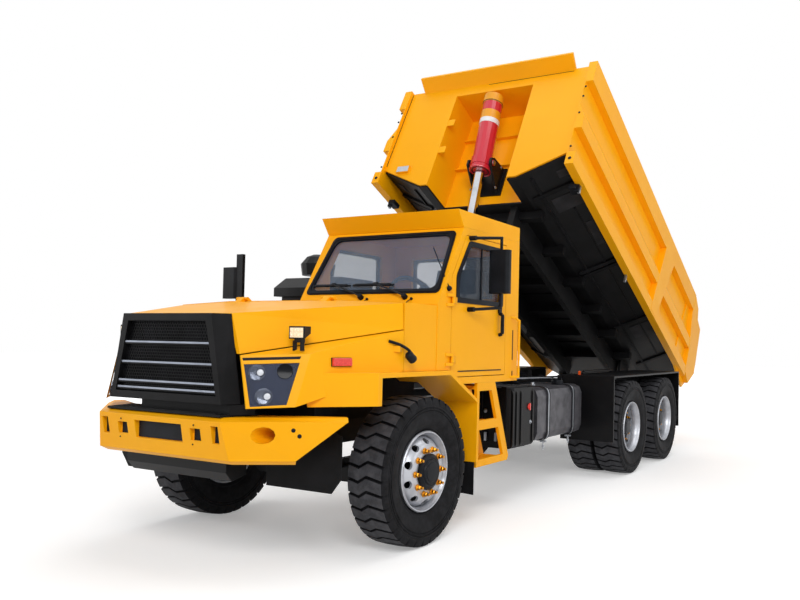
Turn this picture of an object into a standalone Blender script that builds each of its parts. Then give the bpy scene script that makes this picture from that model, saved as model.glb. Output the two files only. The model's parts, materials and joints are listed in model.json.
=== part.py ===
"""Mining dump truck with an offset cab, a raised tipping bed and six wheel stations."""

import bmesh
import bpy
import math
from mathutils import Matrix, Vector
from mathutils.geometry import tessellate_polygon

for old in list(bpy.data.objects):
    bpy.data.objects.remove(old, do_unlink=True)

# Metres. X is across the truck, plus to its left. The front points to minus Y. Z is up.
# Lengths along the truck are given from the front axle, and everything is moved at the end
# so that the origin is on the ground under the middle of the truck.

# Fits
GAP = 0.0003
MOVE_GAP = 0.006
EMBED = 0.004
PIN_GAP = 0.0005
OVERRUN = 0.1
PIN_STEPS = 24
SMALL_STEPS = 12
BAR_STEPS = 8

# Cab, which sets the width of the front bodywork
CAB_LEFT = 1.17
CAB_RIGHT = -0.25
CAB_FRONT = 0.11
CAB_REAR = 1.46
CAB_LOW = 1.20
CAB_WALL = 0.05
CAB_TOE_Z = 1.316
BELT_Z = 1.83
EAVE_Z = 2.475
EAVE_FRONT = 0.475
ROOF_Z = 2.61
VISOR_FRONT = 0.38

# Front bodywork
BODY_STEP = 0.005
BODY_HALF = CAB_LEFT - BODY_STEP
HOOD_FRONT = -1.28
HOOD_REAR = -0.315
COWL_REAR = CAB_FRONT - GAP
SKIN = 0.030

# Wheels
TYRE_R = 0.5625
LUG_DEEP = 0.016
TREAD_HALF = 0.138
SHOULDER_R = 0.530
SHOULDER_HALF = 0.150
BULGE_HALF = 0.158
BULGE_R = 0.440
BEAD_HALF = 0.112
BEAD_R = 0.312
RIM_HALF = 0.106
RIM_IN_R = 0.262
HUB_R = 0.145
HUB_CAP_R = 0.088
HUB_BACK = 0.155
TRACK_FRONT = 1.028
DUAL_IN = 0.919
DUAL_PITCH = 0.339
CAB_TO_AXLE = 2.65
BOGIE_SPREAD = 1.38
AXLE_2 = CAB_REAR + CAB_TO_AXLE
AXLE_3 = AXLE_2 + BOGIE_SPREAD
LUGS = 18

# Frame
RAIL_OUT = 0.43
RAIL_IN = 0.35
RAIL_TOP = 1.03
RAIL_LOW = 0.73
RAIL_FRONT = -1.1097
RAIL_WEB = 0.012
RAIL_FLANGE = 0.014
HINGE_BEHIND = 0.76
HINGE_Y = AXLE_3 + HINGE_BEHIND
HINGE_Z = 1.02
HINGE_R = 0.045
RAIL_TAIL = 0.13
RAIL_REAR = HINGE_Y + RAIL_TAIL

# Bed, given lowered and level
RAISE_DEG = 27.0
BED_FRONT = 1.76
BED_HALF = 1.21
RAIL_PROUD = 0.085
BED_RAIL_OUT = BED_HALF + RAIL_PROUD
BED_OVERHANG = 1.03
BED_REAR = HINGE_Y + BED_OVERHANG
BED_PLATE = 0.012
BED_IN = BED_HALF - BED_PLATE - GAP
FLOOR_Z = 1.31
BED_DEPTH = 1.51
BED_TOP = FLOOR_Z + BED_DEPTH
FLOOR_HALF = 0.62
FLOOR_T = 0.020
CHAMFER_Z = 1.58
LOW_RAIL_Z = 1.39
RECESS_HALF = 0.515
RECESS_Y = 2.21
HEADER_H = 0.15
HEADER_Z = BED_TOP - HEADER_H

# Hoist
EYE_Y = 1.865
EYE_Z = 0.86
TRUNNION_Y = 1.95
TRUNNION_Z = 1.72

COLOURS = {
    "yellow": (0.90, 0.50, 0.02, 1.0),
    "black": (0.02, 0.02, 0.02, 1.0),
    "rubber": (0.03, 0.03, 0.03, 1.0),
    "steel": (0.55, 0.55, 0.55, 1.0),
    "red": (0.60, 0.02, 0.04, 1.0),
    "glass": (0.10, 0.12, 0.13, 1.0),
    "fabric": (0.05, 0.05, 0.06, 1.0),
}


def lift(point):
    """A point of the lowered bed, as it is with the bed raised."""
    turn = math.radians(RAISE_DEG)
    y = point[1] - HINGE_Y
    z = point[2] - HINGE_Z
    return Vector((
        point[0],
        HINGE_Y + y * math.cos(turn) + z * math.sin(turn),
        HINGE_Z - y * math.sin(turn) + z * math.cos(turn),
    ))


# The tail corner of the raised bed and the bumper's front set the middle of the truck.
TAIL_DROP = 0.18
TAIL_TOP_Z = BED_TOP - TAIL_DROP
BUMPER_FRONT = -1.434
MIDDLE_Y = (lift((0, BED_REAR, TAIL_TOP_Z))[1] + BUMPER_FRONT) / 2


def made(name, colour):
    """A Principled material of one colour."""
    material = bpy.data.materials.new(name)
    material.use_nodes = True
    shader = material.node_tree.nodes["Principled BSDF"]
    shader.inputs["Base Color"].default_value = COLOURS[colour]
    material.diffuse_color = COLOURS[colour]
    return material


def solid(points, faces):
    """A closed mesh as (points, faces), with its normals outward."""
    return [Vector(p) for p in points], [list(f) for f in faces]


def plate(axis, low, high, outline, holes=()):
    """A plate across an axis, from its outline and holes given in the other two coordinates."""
    loops = [list(outline)] + [list(h) for h in holes]
    flat = [p for loop in loops for p in loop]
    caps = [range(len(flat))]
    if holes:
        caps = tessellate_polygon([[Vector((a, b, 0)) for a, b in loop] for loop in loops])
    spots = {"X": (1, 2), "Y": (0, 2), "Z": (0, 1)}[axis]
    along = "XYZ".index(axis)
    points = []
    for value in (low, high):
        for a, b in flat:
            point = [0.0, 0.0, 0.0]
            point[along] = value
            point[spots[0]] = a
            point[spots[1]] = b
            points.append(point)
    count = len(flat)
    faces = []
    for cap in caps:
        faces.append(list(cap))
        faces.append([i + count for i in reversed(cap)])
    start = 0
    for loop in loops:
        size = len(loop)
        for i in range(size):
            a = start + i
            b = start + (i + 1) % size
            faces.append((a, b, b + count, a + count))
        start += size
    return solid(points, faces)


def box(x, y, z):
    """A box from three (low, high) pairs."""
    return plate("Z", z[0], z[1], [(x[0], y[0]), (x[1], y[0]), (x[1], y[1]), (x[0], y[1])])


def loft(sections, flat_ends=True):
    """A solid through closed sections of equal point counts, capped at both ends."""
    size = len(sections[0])
    points = [p for section in sections for p in section]
    last = len(points) - size
    faces = []
    for start in (0, last):
        if flat_ends:
            faces.append([start + i for i in range(size)])
            continue
        for i in range(1, size - 1):
            faces.append([start, start + i, start + i + 1])
    for s in range(len(sections) - 1):
        for i in range(size):
            a = s * size + i
            b = s * size + (i + 1) % size
            faces.append((a, b, b + size))
            faces.append((a, b + size, a + size))
    return solid(points, faces)


def turned(profile, steps, centre=(0, 0, 0), axis="X", closed=False):
    """A solid of revolution from (along, radius) points. It is a ring when closed."""
    points = []
    rings = []
    for along, radius in profile:
        if radius <= 0:
            rings.append([len(points)] * steps)
            points.append((along, 0, 0))
            continue
        ring = []
        for i in range(steps):
            angle = 2 * math.pi * i / steps - math.pi / 2
            ring.append(len(points))
            points.append((along, radius * math.cos(angle), radius * math.sin(angle)))
        rings.append(ring)
    faces = []
    pairs = len(rings) if closed else len(rings) - 1
    for r in range(pairs):
        one = rings[r]
        two = rings[(r + 1) % len(rings)]
        for i in range(steps):
            j = (i + 1) % steps
            face = []
            for index in (one[i], one[j], two[j], two[i]):
                if index not in face:
                    face.append(index)
            faces.append(face)
    order = {"X": (0, 1, 2), "Y": (2, 0, 1), "Z": (1, 2, 0)}[axis]
    placed = []
    for point in points:
        placed.append([point[order[k]] + centre[k] for k in range(3)])
    return solid(placed, faces)


def rod(start, end, radius, steps=BAR_STEPS):
    """A round bar between two points."""
    start = Vector(start)
    end = Vector(end)
    length = (end - start).length
    points, faces = turned([(0, 0), (0, radius), (length, radius), (length, 0)], steps)
    turn = Vector((1, 0, 0)).rotation_difference(end - start).to_matrix()
    return [turn @ p + start for p in points], faces


def circle(y, z, radius, steps=PIN_STEPS):
    """Points round a circle, anticlockwise."""
    return [(y + radius * math.cos(2 * math.pi * i / steps), z + radius * math.sin(2 * math.pi * i / steps))
            for i in range(steps)]


def spread(shares, low, high):
    """Points between two corners of a rectangle, from the shares of its width and height."""
    return [(low[0] + a * (high[0] - low[0]), low[1] + b * (high[1] - low[1])) for a, b in shares]


def pair(side, one, two):
    """The two bounds of a stretch across one side of the truck, in rising order."""
    return tuple(sorted((side * one, side * two)))


def about(middle, half):
    """The two bounds of a stretch round its middle."""
    return (middle - half, middle + half)


def bent(points, radius, steps=BAR_STEPS):
    """A round bar bent through several points, with mitred corners."""
    points = [Vector(p) for p in points]
    rings = []
    side = Vector((0, 0, 1)).cross(points[1] - points[0])
    if side.length < radius:
        side = Vector((1, 0, 0))
    side.normalize()
    for i, point in enumerate(points):
        before = (point - points[max(i - 1, 0)]).normalized()
        after = (points[min(i + 1, len(points) - 1)] - point).normalized()
        way = (before + after).normalized()
        run = after if i == 0 else before
        wide = side - run * side.dot(run)
        wide.normalize()
        tall = run.cross(wide)
        ring = []
        for k in range(steps):
            angle = 2 * math.pi * k / steps
            spot = wide * (radius * math.cos(angle)) + tall * (radius * math.sin(angle))
            spot = spot - run * (spot.dot(way) / run.dot(way))
            ring.append(point + spot)
        rings.append(ring)
        side = wide
    return loft(rings)


def hull(points):
    """The convex outline round some flat points, anticlockwise."""
    points = sorted(set(points))
    chains = []
    for run in (points, points[::-1]):
        chain = []
        for c in run:
            while len(chain) > 1:
                a, b = chain[-2:]
                if (b[0] - a[0]) * (c[1] - a[1]) - (b[1] - a[1]) * (c[0] - a[0]) > 0:
                    break
                chain.pop()
            chain.append(c)
        chains.append(chain[:-1])
    return chains[0] + chains[1]


def hinge(axis, at, along, width, pin_r, ear_r, moving_tail, fixed_tail):
    """A three-part hinge: (moving bodies, fixed bodies). The fixed side holds the pin."""
    low = along - width / 2
    high = along + width / 2
    ring = circle(at[0], at[1], ear_r, SMALL_STEPS)
    hole = circle(at[0], at[1], pin_r + PIN_GAP, SMALL_STEPS)
    moving = [plate(axis, low, high, hull(ring + moving_tail), [hole])]
    outline = hull(ring + fixed_tail)
    fixed = [plate(axis, low - width / 2 - PIN_GAP, low - PIN_GAP, outline)]
    fixed.append(plate(axis, high + PIN_GAP, high + width / 2 + PIN_GAP, outline))
    spots = {"X": (1, 2), "Z": (0, 1)}[axis]
    ends = []
    for value in (low - width / 4, high + width / 4):
        point = [0.0, 0.0, 0.0]
        point["XYZ".index(axis)] = value
        point[spots[0]] = at[0]
        point[spots[1]] = at[1]
        ends.append(point)
    fixed.append(rod(ends[0], ends[1], pin_r, SMALL_STEPS))
    return moving, fixed


def shifted(body, move):
    return [p + Vector(move) for p in body[0]], body[1]


def flipped(body):
    """The mirror image across the truck's middle plane."""
    return [Vector((-p[0], p[1], p[2])) for p in body[0]], body[1]


def raised(body):
    return [lift(p) for p in body[0]], body[1]


def mesh_of(name, body, origin):
    mesh = bpy.data.meshes.new(name)
    points = [tuple(p - origin) for p in body[0]]
    mesh.from_pydata(points, [], body[1])
    work = bmesh.new()
    work.from_mesh(mesh)
    bmesh.ops.remove_doubles(work, verts=work.verts, dist=0.00001)
    bmesh.ops.recalc_face_normals(work, faces=work.faces)
    if work.calc_volume(signed=True) < 0:
        bmesh.ops.reverse_faces(work, faces=work.faces)
    work.to_mesh(mesh)
    work.free()
    return mesh


def join(item, origin, tools):
    """Joins bodies to a piece, or cuts them from it, in their order."""
    for operation, tool_body in tools:
        count = len(item.modifiers)
        tool_name = item.name + "_tool_" + str(count)
        tool = bpy.data.objects.new(tool_name, mesh_of(tool_name, tool_body, origin))
        tool.location = item.location
        tool.hide_render = True
        tool.display_type = "WIRE"
        bpy.context.scene.collection.objects.link(tool)
        modifier = item.modifiers.new(operation.lower() + str(count), "BOOLEAN")
        modifier.operation = operation
        modifier.solver = "EXACT"
        modifier.object = tool


def node(name, colour, body, adds=(), cuts=(), origin=(0, 0, 0), smooth=0.0):
    """One piece: a body with others joined to it, then others cut from it."""
    origin = Vector(origin)
    item = bpy.data.objects.new(name, mesh_of(name, body, origin))
    item.location = origin - Vector((0, MIDDLE_Y, 0))
    item.data.materials.append(made(name + "_finish", colour))
    bpy.context.scene.collection.objects.link(item)
    join(item, origin, [("UNION", b) for b in adds] + [("DIFFERENCE", b) for b in cuts])
    if smooth > 0:
        item.data.shade_smooth()
        item.data.set_sharp_from_angle(angle=math.radians(smooth))
    return item


def rounded(a, b, radius, steps=4):
    """A rounded rectangle from two corners, anticlockwise."""
    out = []
    for cx, cy, start in (
        (b[0] - radius, a[1] + radius, -90),
        (b[0] - radius, b[1] - radius, 0),
        (a[0] + radius, b[1] - radius, 90),
        (a[0] + radius, a[1] + radius, 180),
    ):
        for i in range(steps + 1):
            angle = math.radians(start + 90 * i / steps)
            out.append((cx + radius * math.cos(angle), cy + radius * math.sin(angle)))
    return out


def grown(outline, amount):
    """The outline, moved outward all round by an amount. It runs anticlockwise."""
    out = []
    count = len(outline)
    for i in range(count):
        a = Vector(outline[i - 1])
        b = Vector(outline[i])
        c = Vector(outline[(i + 1) % count])
        n1 = Vector(((b - a)[1], -(b - a)[0])).normalized()
        n2 = Vector(((c - b)[1], -(c - b)[0])).normalized()
        way = (n1 + n2).normalized()
        out.append(tuple(b + way * amount / way.dot(n1)))
    return out


def channel(x_web, x_open, y, z_low, z_high):
    """One channel rail along the truck, open towards x_open."""
    side = 1 if x_open > x_web else -1
    web = x_web + side * RAIL_WEB
    return plate("Y", y[0], y[1], [
        (x_web, z_low),
        (x_open, z_low),
        (x_open, z_low + RAIL_FLANGE),
        (web, z_low + RAIL_FLANGE),
        (web, z_high - RAIL_FLANGE),
        (x_open, z_high - RAIL_FLANGE),
        (x_open, z_high),
        (x_web, z_high),
    ])


# The ladder frame
CROSS_H = 0.20
CROSS_T = 0.08
EYE_CHEEK_IN = 0.0605
EYE_CHEEK_T = 0.03
EYE_CHEEK_R = 0.09
EYE_PIN_R = 0.032
FIRST_CROSS = 0.05
CAB_MOUNT_FRONT = 0.51
CAB_MOUNT_REAR = 1.25
AIR_MOUNT_REAR = 0.89
MOUNT_HALF = 0.04
MOUNT_EDGE = 0.005
EYE_CROSS_AHEAD = 0.185
TANK_CROSS_AHEAD = 1.01
HINGE_CROSS_AHEAD = 0.20
EYE_CROSS_Y = EYE_Y - EYE_CROSS_AHEAD
BOGIE_Y = (AXLE_2 + AXLE_3) / 2
HINGE_PIN_OUT = 0.12
CROSS_YS = (
    RAIL_FRONT + FIRST_CROSS,
    CAB_FRONT + CAB_MOUNT_FRONT,
    EYE_CROSS_Y,
    AXLE_2 - TANK_CROSS_AHEAD,
    BOGIE_Y,
    HINGE_Y - HINGE_CROSS_AHEAD,
)
rails = [channel(side * RAIL_OUT, side * RAIL_IN, (RAIL_FRONT, RAIL_REAR), RAIL_LOW, RAIL_TOP)
         for side in (1, -1)]
frame_adds = [rails[1]]
rail_middle = (RAIL_TOP + RAIL_LOW) / 2
web_middle = RAIL_OUT - RAIL_WEB / 2
for y in CROSS_YS:
    frame_adds.append(box((-web_middle, web_middle), about(y, CROSS_T / 2), about(rail_middle, CROSS_H / 2)))
eye_root = EYE_CROSS_Y + CROSS_T / 2 - EMBED
eye_cheek = [
    (eye_root, RAIL_LOW + CROSS_T),
    (EYE_Y + EYE_CHEEK_R / 2, RAIL_LOW + CROSS_T),
    (EYE_Y + EYE_CHEEK_R, EYE_Z),
    (EYE_Y + EYE_CHEEK_R / 2, EYE_Z + EYE_CHEEK_R),
    (EYE_Y - EYE_CHEEK_R / 2, EYE_Z + EYE_CHEEK_R),
    (eye_root, EYE_Z - EMBED),
]
for side in (1, -1):
    low, high = pair(side, EYE_CHEEK_IN, EYE_CHEEK_IN + EYE_CHEEK_T)
    frame_adds.append(plate("X", low, high, eye_cheek))
    frame_adds.append(rod(
        (side * web_middle, HINGE_Y, HINGE_Z),
        (side * (RAIL_OUT + HINGE_PIN_OUT), HINGE_Y, HINGE_Z),
        HINGE_R,
        PIN_STEPS,
    ))
    rear_mount = CAB_MOUNT_REAR if side > 0 else AIR_MOUNT_REAR
    for y in (CAB_MOUNT_FRONT, rear_mount):
        frame_adds.append(box(
            pair(side, RAIL_IN + MOUNT_EDGE, RAIL_OUT - MOUNT_EDGE),
            about(CAB_FRONT + y, MOUNT_HALF),
            (RAIL_TOP - EMBED, CAB_LOW - GAP),
        ))
node("frame", "black", rails[0], adds=frame_adds)

# The engine, as one plain block, with its sump clear of the front axle
ENGINE_HALF = 0.33
ENGINE_Y = (-0.99, 0.09)
ENGINE_Z = (0.82, 1.50)
ENGINE_MOUNT_Y = (-0.50, -0.38)
ENGINE_MOUNT_Z = (0.86, 0.94)
mount_reach = RAIL_OUT - RAIL_WEB - GAP
node("engine", "steel", box((-ENGINE_HALF, ENGINE_HALF), ENGINE_Y, ENGINE_Z), adds=[
    box((-mount_reach, mount_reach), ENGINE_MOUNT_Y, ENGINE_MOUNT_Z),
])

# The front bumper: a folded plate box with its ends swept back, pierced by slots
BUMPER_T = 0.05
BUMPER_DEEP = 0.30
BUMPER_LOW = 0.735
BUMPER_TOP = 1.030
BUMPER_WIDER = 0.035
BUMPER_REACH = 0.490
SLOT_DEEP = 0.045
BUMPER_HALF = BODY_HALF + BUMPER_WIDER
BUMPER_SHARES = (
    # height, half-width of the front, how far its front lies behind the foremost crease,
    # half-width at the swept ends, how far back the ends reach
    (1.000, 0.467, 0.122, 0.975, 1.061),
    (0.925, 0.487, 0.000, 1.000, 0.998),
    (0.095, 0.525, 0.088, 0.800, 0.571),
    (0.000, 0.508, 0.184, 0.775, 0.633),
)
SLOT_SHARES = (
    # inner half-width, outer half-width, low height, high height, of the bumper's own
    (0.255, 0.335, 0.470, 0.735),
    (0.418, 0.470, 0.440, 0.820),
)
MIDDLE_SLOT_SHARES = (0.190, 0.400, 0.800)
OVAL_SHARES = (0.660, 0.640, 0.050, 0.180)
sections = []
for height, half, back, end_half, end_back in BUMPER_SHARES:
    half = half * BUMPER_HALF
    end_half = end_half * BUMPER_HALF
    z = BUMPER_LOW + height * (BUMPER_TOP - BUMPER_LOW)
    y = BUMPER_FRONT + back * BUMPER_REACH
    y_end = BUMPER_FRONT + end_back * BUMPER_REACH
    sections.append([
        (-end_half, y_end, z),
        (-half, y, z),
        (half, y, z),
        (end_half, y_end, z),
        (end_half - BUMPER_T, y_end + BUMPER_T, z),
        (half - BUMPER_T / 2, BUMPER_FRONT + BUMPER_DEEP, z),
        (-half + BUMPER_T / 2, BUMPER_FRONT + BUMPER_DEEP, z),
        (-end_half + BUMPER_T, y_end + BUMPER_T, z),
    ])


def bumper_height(share):
    return BUMPER_LOW + share * (BUMPER_TOP - BUMPER_LOW)


slot_y = (BUMPER_FRONT - OVERRUN, BUMPER_FRONT + SLOT_DEEP)
slot_half, slot_low, slot_high = MIDDLE_SLOT_SHARES
slots = [box((-slot_half * BUMPER_HALF, slot_half * BUMPER_HALF), slot_y,
             (bumper_height(slot_low), bumper_height(slot_high)))]
for inner, outer, low, high in SLOT_SHARES:
    for side in (1, -1):
        slots.append(box(pair(side, inner * BUMPER_HALF, outer * BUMPER_HALF), slot_y,
                         (bumper_height(low), bumper_height(high))))
oval_x, oval_z, oval_half, oval_tall = OVAL_SHARES
oval = [
    ((oval_x + a * oval_half) * BUMPER_HALF, bumper_height(oval_z + b * oval_tall))
    for a, b in circle(0, 0, 1, SMALL_STEPS)
]
for side in (1, -1):
    hole = plate("Y", BUMPER_FRONT - OVERRUN, BUMPER_FRONT + BUMPER_REACH + OVERRUN, oval)
    slots.append(hole if side > 0 else flipped(hole))
node("bumper", "yellow", loft(sections), cuts=slots)

# The skid beam under the bumper
SKID_HALF = 0.485
SKID_LOW = 0.60
SKID_FRONT = -1.28
SKID_REAR = RAIL_FRONT - GAP
SKID_TOP = BUMPER_LOW - GAP
SKID_SHARES = ((0.0, 1.0), (0.0, 0.446), (0.294, 0.0), (1.0, 0.223), (1.0, 1.0))
skid_outline = spread(SKID_SHARES, (SKID_FRONT, SKID_LOW), (SKID_REAR, SKID_TOP))
node("skid_beam", "black", plate("X", -SKID_HALF, SKID_HALF, skid_outline))

# Hood and grille: both turn on the hood's rear edge
HOOD_TOP_FRONT = 1.695
HOOD_TOP_REAR = 1.835
HOOD_EDGE_REAR = 1.811
HOOD_FOLD_FRONT = 1.425
HOOD_FOLD_REAR = 1.615
HOOD_FRONT_SHARE = 0.429
FOLD_FRONT_SHARE = 0.498
HOOD_REAR_STEP = 0.015
HINGE_RISE = 0.023
HOOD_HINGE_SHARE = 0.386
HINGE_WIDTH = 0.06
HINGE_PIN_R = 0.006
HINGE_EAR_R = 0.013
HINGE_TAIL = (0.02, 0.07)
HINGE_SINK = 0.015
HOOD_HINGE_Z = HOOD_TOP_REAR + HINGE_RISE
HOOD_HALF_FRONT = HOOD_FRONT_SHARE * BODY_HALF
HOOD_HALF_REAR = BODY_HALF - HOOD_REAR_STEP


def hood_section(y, top, edge, half, fold_half, fold):
    outer = [(-fold_half, fold), (-half, edge), (-half / 2, top),
             (half / 2, top), (half, edge), (fold_half, fold)]
    inner = [(fold_half - SKIN, fold), (half - SKIN, edge - SKIN), (half / 2, top - SKIN),
             (-half / 2, top - SKIN), (-half + SKIN, edge - SKIN), (-fold_half + SKIN, fold)]
    return [(x, y, z) for x, z in outer + inner]


hood = loft([
    hood_section(HOOD_FRONT, HOOD_TOP_FRONT, HOOD_TOP_FRONT, HOOD_HALF_FRONT,
                 FOLD_FRONT_SHARE * BODY_HALF, HOOD_FOLD_FRONT + MOVE_GAP),
    hood_section(HOOD_REAR, HOOD_TOP_REAR, HOOD_EDGE_REAR, HOOD_HALF_REAR,
                 BODY_HALF - MOVE_GAP, HOOD_FOLD_REAR + MOVE_GAP),
])
HOOD_ORIGIN = (0, HOOD_REAR, HOOD_HINGE_Z)
hood_hinges = []
cowl_hinges = []
for side in (1, -1):
    tail_z = HOOD_TOP_REAR - HINGE_SINK
    near, far = HINGE_TAIL
    moving, fixed = hinge("X", HOOD_ORIGIN[1:], side * HOOD_HINGE_SHARE * BODY_HALF, HINGE_WIDTH,
                          HINGE_PIN_R, HINGE_EAR_R,
                          [(HOOD_REAR - near, tail_z), (HOOD_REAR - far, tail_z)],
                          [(HOOD_REAR + near, tail_z), (HOOD_REAR + far, tail_z)])
    hood_hinges += moving
    cowl_hinges += fixed
node("hood", "yellow", hood, adds=hood_hinges, origin=HOOD_ORIGIN)

# The grille: a tapering box with a recessed mesh panel behind four bars
GRILLE_FRONT = -1.385
GRILLE_TOP = 1.690
GRILLE_LOW = 1.110
GRILLE_BORDER = 0.050
GRILLE_DEEP = 0.035
GRILLE_BAR = 0.018
GRILLE_BAR_BACK = 0.006
GRILLE_FRONT_SHARES = (0.369, 0.4635)
GRILLE_REAR_SHARE = 0.515
GRILLE_BAR_SHARES = (0.655, 0.421, 0.202, 0.120)


def grille_section(y, top_half, low_half, border=0.0):
    return [(-low_half + border, y, GRILLE_LOW + border), (low_half - border, y, GRILLE_LOW + border),
            (top_half - border, y, GRILLE_TOP - border), (-top_half + border, y, GRILLE_TOP - border)]


grille_top, grille_low = [share * BODY_HALF for share in GRILLE_FRONT_SHARES]
grille = loft([
    grille_section(GRILLE_FRONT, grille_top, grille_low),
    grille_section(HOOD_FRONT - GAP, HOOD_HALF_FRONT - EMBED, GRILLE_REAR_SHARE * BODY_HALF),
])
panel = loft([
    grille_section(y, grille_top, grille_low, GRILLE_BORDER)
    for y in (GRILLE_FRONT - OVERRUN, GRILLE_FRONT + GRILLE_DEEP)
])
grille_bars = []
for share in GRILLE_BAR_SHARES:
    z = GRILLE_LOW + share * (GRILLE_TOP - GRILLE_LOW)
    half = grille_low + share * (grille_top - grille_low) - GRILLE_BORDER + 2 * EMBED
    bar_y = (GRILLE_FRONT + GRILLE_BAR_BACK, GRILLE_FRONT + GRILLE_DEEP + EMBED)
    grille_bars.append(box((-half, half), bar_y, about(z, GRILLE_BAR / 2)))
item = node("grille", "black", grille, cuts=[panel], origin=HOOD_ORIGIN)
join(item, Vector(HOOD_ORIGIN), [("UNION", b) for b in grille_bars])

# Front fenders, each a swept headlamp box with its side and top, and the wheel arch behind it
LAMP_SHARES = (
    # across the body's half-width, along from the foremost corner to the hood's rear, up the lamp face
    (0.515, 0.0198, 0.955),
    (0.794, 0.3134, 1.000),
    (0.779, 0.2020, 0.031),
    (0.587, 0.0000, 0.000),
)
LAMP_FOREMOST = -1.320
LAMP_LOW = 1.087
LAMP_TOP = 1.440
FENDER_REAR_LOW = 1.32
FENDER_THROUGH = 0.10
FLARE_WIDER = 0.035
FLARE_IN = 0.80
FLARE_T = 0.022
FLARE_TOP = 1.315
FLARE_LIP = 0.035
FLARE_LOW = 1.09
ARCH_FRONT = -1.05
ARCH_REAR = 0.715
ARCH_SLOPE_Y = 0.28
ARCH_FOLD_Z = 1.055
ARCH_LOW = 0.545
ARCH_WALL_Y = 0.10
ARCH_CORNER = 0.014
ARCH_SPACE_REAR = 0.20
NOSE_WIDE = 0.20
ARCH_FRONT_T = 0.030
NOSE_SHARES = ((0.796, 0.886), (1.0, 0.614))
FLARE_OUT = BODY_HALF + FLARE_WIDER
NOSE_POINTS = [(share_x * FLARE_OUT, share_y * ARCH_FRONT) for share_x, share_y in NOSE_SHARES]
lamp_face = []
for share_x, share_y, share_z in LAMP_SHARES:
    y, z = spread([(share_y, share_z)], (LAMP_FOREMOST, LAMP_LOW), (HOOD_REAR, LAMP_TOP))[0]
    lamp_face.append(Vector((share_x * BODY_HALF, y, z)))


def fender_bodies():
    """The left fender: (its outside, the hollow behind its skins)."""
    top_in, top_out, low_out, low_in = lamp_face
    across = (top_out - top_in).normalized()
    deep = Vector((-across[1], across[0], 0)).normalized() * SKIN
    down = Vector((0, 0, -SKIN))
    far = Vector((0, 0, -FENDER_THROUGH))
    inner = -across * FENDER_THROUGH
    rear_in = BODY_HALF - SKIN - EMBED
    rear = [
        Vector((rear_in, HOOD_REAR, HOOD_FOLD_REAR - EMBED)),
        Vector((BODY_HALF, HOOD_REAR, HOOD_FOLD_REAR)),
        Vector((BODY_HALF, HOOD_REAR, FENDER_REAR_LOW)),
        Vector((rear_in, HOOD_REAR, FENDER_REAR_LOW)),
    ]
    behind = Vector((0, FENDER_THROUGH, 0))
    hollow_front = [
        top_in + deep + inner + down,
        top_out + deep - across * SKIN + down,
        low_out + deep - across * SKIN + far,
        low_in + deep + inner + far,
    ]
    hollow_rear = [
        rear[0] + behind + Vector((-FENDER_THROUGH, 0, -SKIN)),
        rear[1] + behind + Vector((-SKIN, 0, -SKIN)),
        rear[2] + behind + Vector((-SKIN, 0, -2 * FENDER_THROUGH)),
        rear[3] + behind + Vector((-FENDER_THROUGH, 0, -2 * FENDER_THROUGH)),
    ]
    return loft([lamp_face, rear], False), loft([hollow_front, hollow_rear], False)


def arch_bodies():
    """The left wheel arch: (its outside, its nose's cut, the wheel's space)."""
    shell = plate("X", FLARE_IN, FLARE_OUT, [
        (ARCH_FRONT, FLARE_LOW),
        (ARCH_FRONT, FLARE_TOP),
        (ARCH_SLOPE_Y, FLARE_TOP),
        (ARCH_REAR, ARCH_FOLD_Z),
        (ARCH_REAR, ARCH_LOW),
        (ARCH_REAR - FLARE_T, ARCH_LOW),
        (ARCH_REAR - FLARE_T, ARCH_FOLD_Z - ARCH_CORNER),
        (ARCH_SLOPE_Y - ARCH_CORNER, FLARE_TOP - FLARE_LIP),
        (ARCH_WALL_Y, FLARE_TOP - FLARE_LIP),
        (ARCH_WALL_Y, FLARE_LOW),
    ])
    (x_in, y_in), (x_out, y_out) = NOSE_POINTS
    slope = (y_out - y_in) / (x_out - x_in)
    nose = plate("Z", FLARE_LOW - OVERRUN, FLARE_TOP + OVERRUN, [
        (x_in - NOSE_WIDE, y_in - slope * NOSE_WIDE),
        (x_in - NOSE_WIDE, y_in - 2 * NOSE_WIDE),
        (x_out + NOSE_WIDE, y_in - 2 * NOSE_WIDE),
        (x_out + NOSE_WIDE, y_out + slope * NOSE_WIDE),
    ])
    thick = ARCH_FRONT_T * math.hypot(1, slope)
    space = plate("Z", FLARE_LOW - OVERRUN, FLARE_TOP - FLARE_LIP, [
        (FLARE_IN - NOSE_WIDE, y_in + thick),
        (x_in, y_in + thick),
        (x_out + NOSE_WIDE, y_out + thick + slope * NOSE_WIDE),
        (x_out + NOSE_WIDE, ARCH_SPACE_REAR),
        (FLARE_IN - NOSE_WIDE, ARCH_SPACE_REAR),
    ])
    return shell, nose, space


# The lamp unit let into each fender's front, as shares across and down its face
LAMP_DEEP = 0.020
LAMP_PROUD = 0.012
LAMP_GLASS_SHARES = ((0.045, 0.170), (0.870, 0.165), (0.810, 0.950), (0.090, 0.965))
LAMP_SPOT_SHARES = ((0.230, 0.330), (0.350, 0.780), (0.670, 0.320))
LAMP_RADII = (0.046, 0.046, 0.026)


def lamp_point(across, down, deep):
    """A point on the lamp face, at a depth behind it."""
    top_in, top_out, low_out, low_in = lamp_face
    inward = (low_in - top_in).cross(top_out - top_in).normalized()
    if inward[1] < 0:
        inward = -inward
    top_point = top_in + (top_out - top_in) * across
    low_point = low_in + (low_out - low_in) * across
    return top_point + (low_point - top_point) * down + inward * deep


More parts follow.
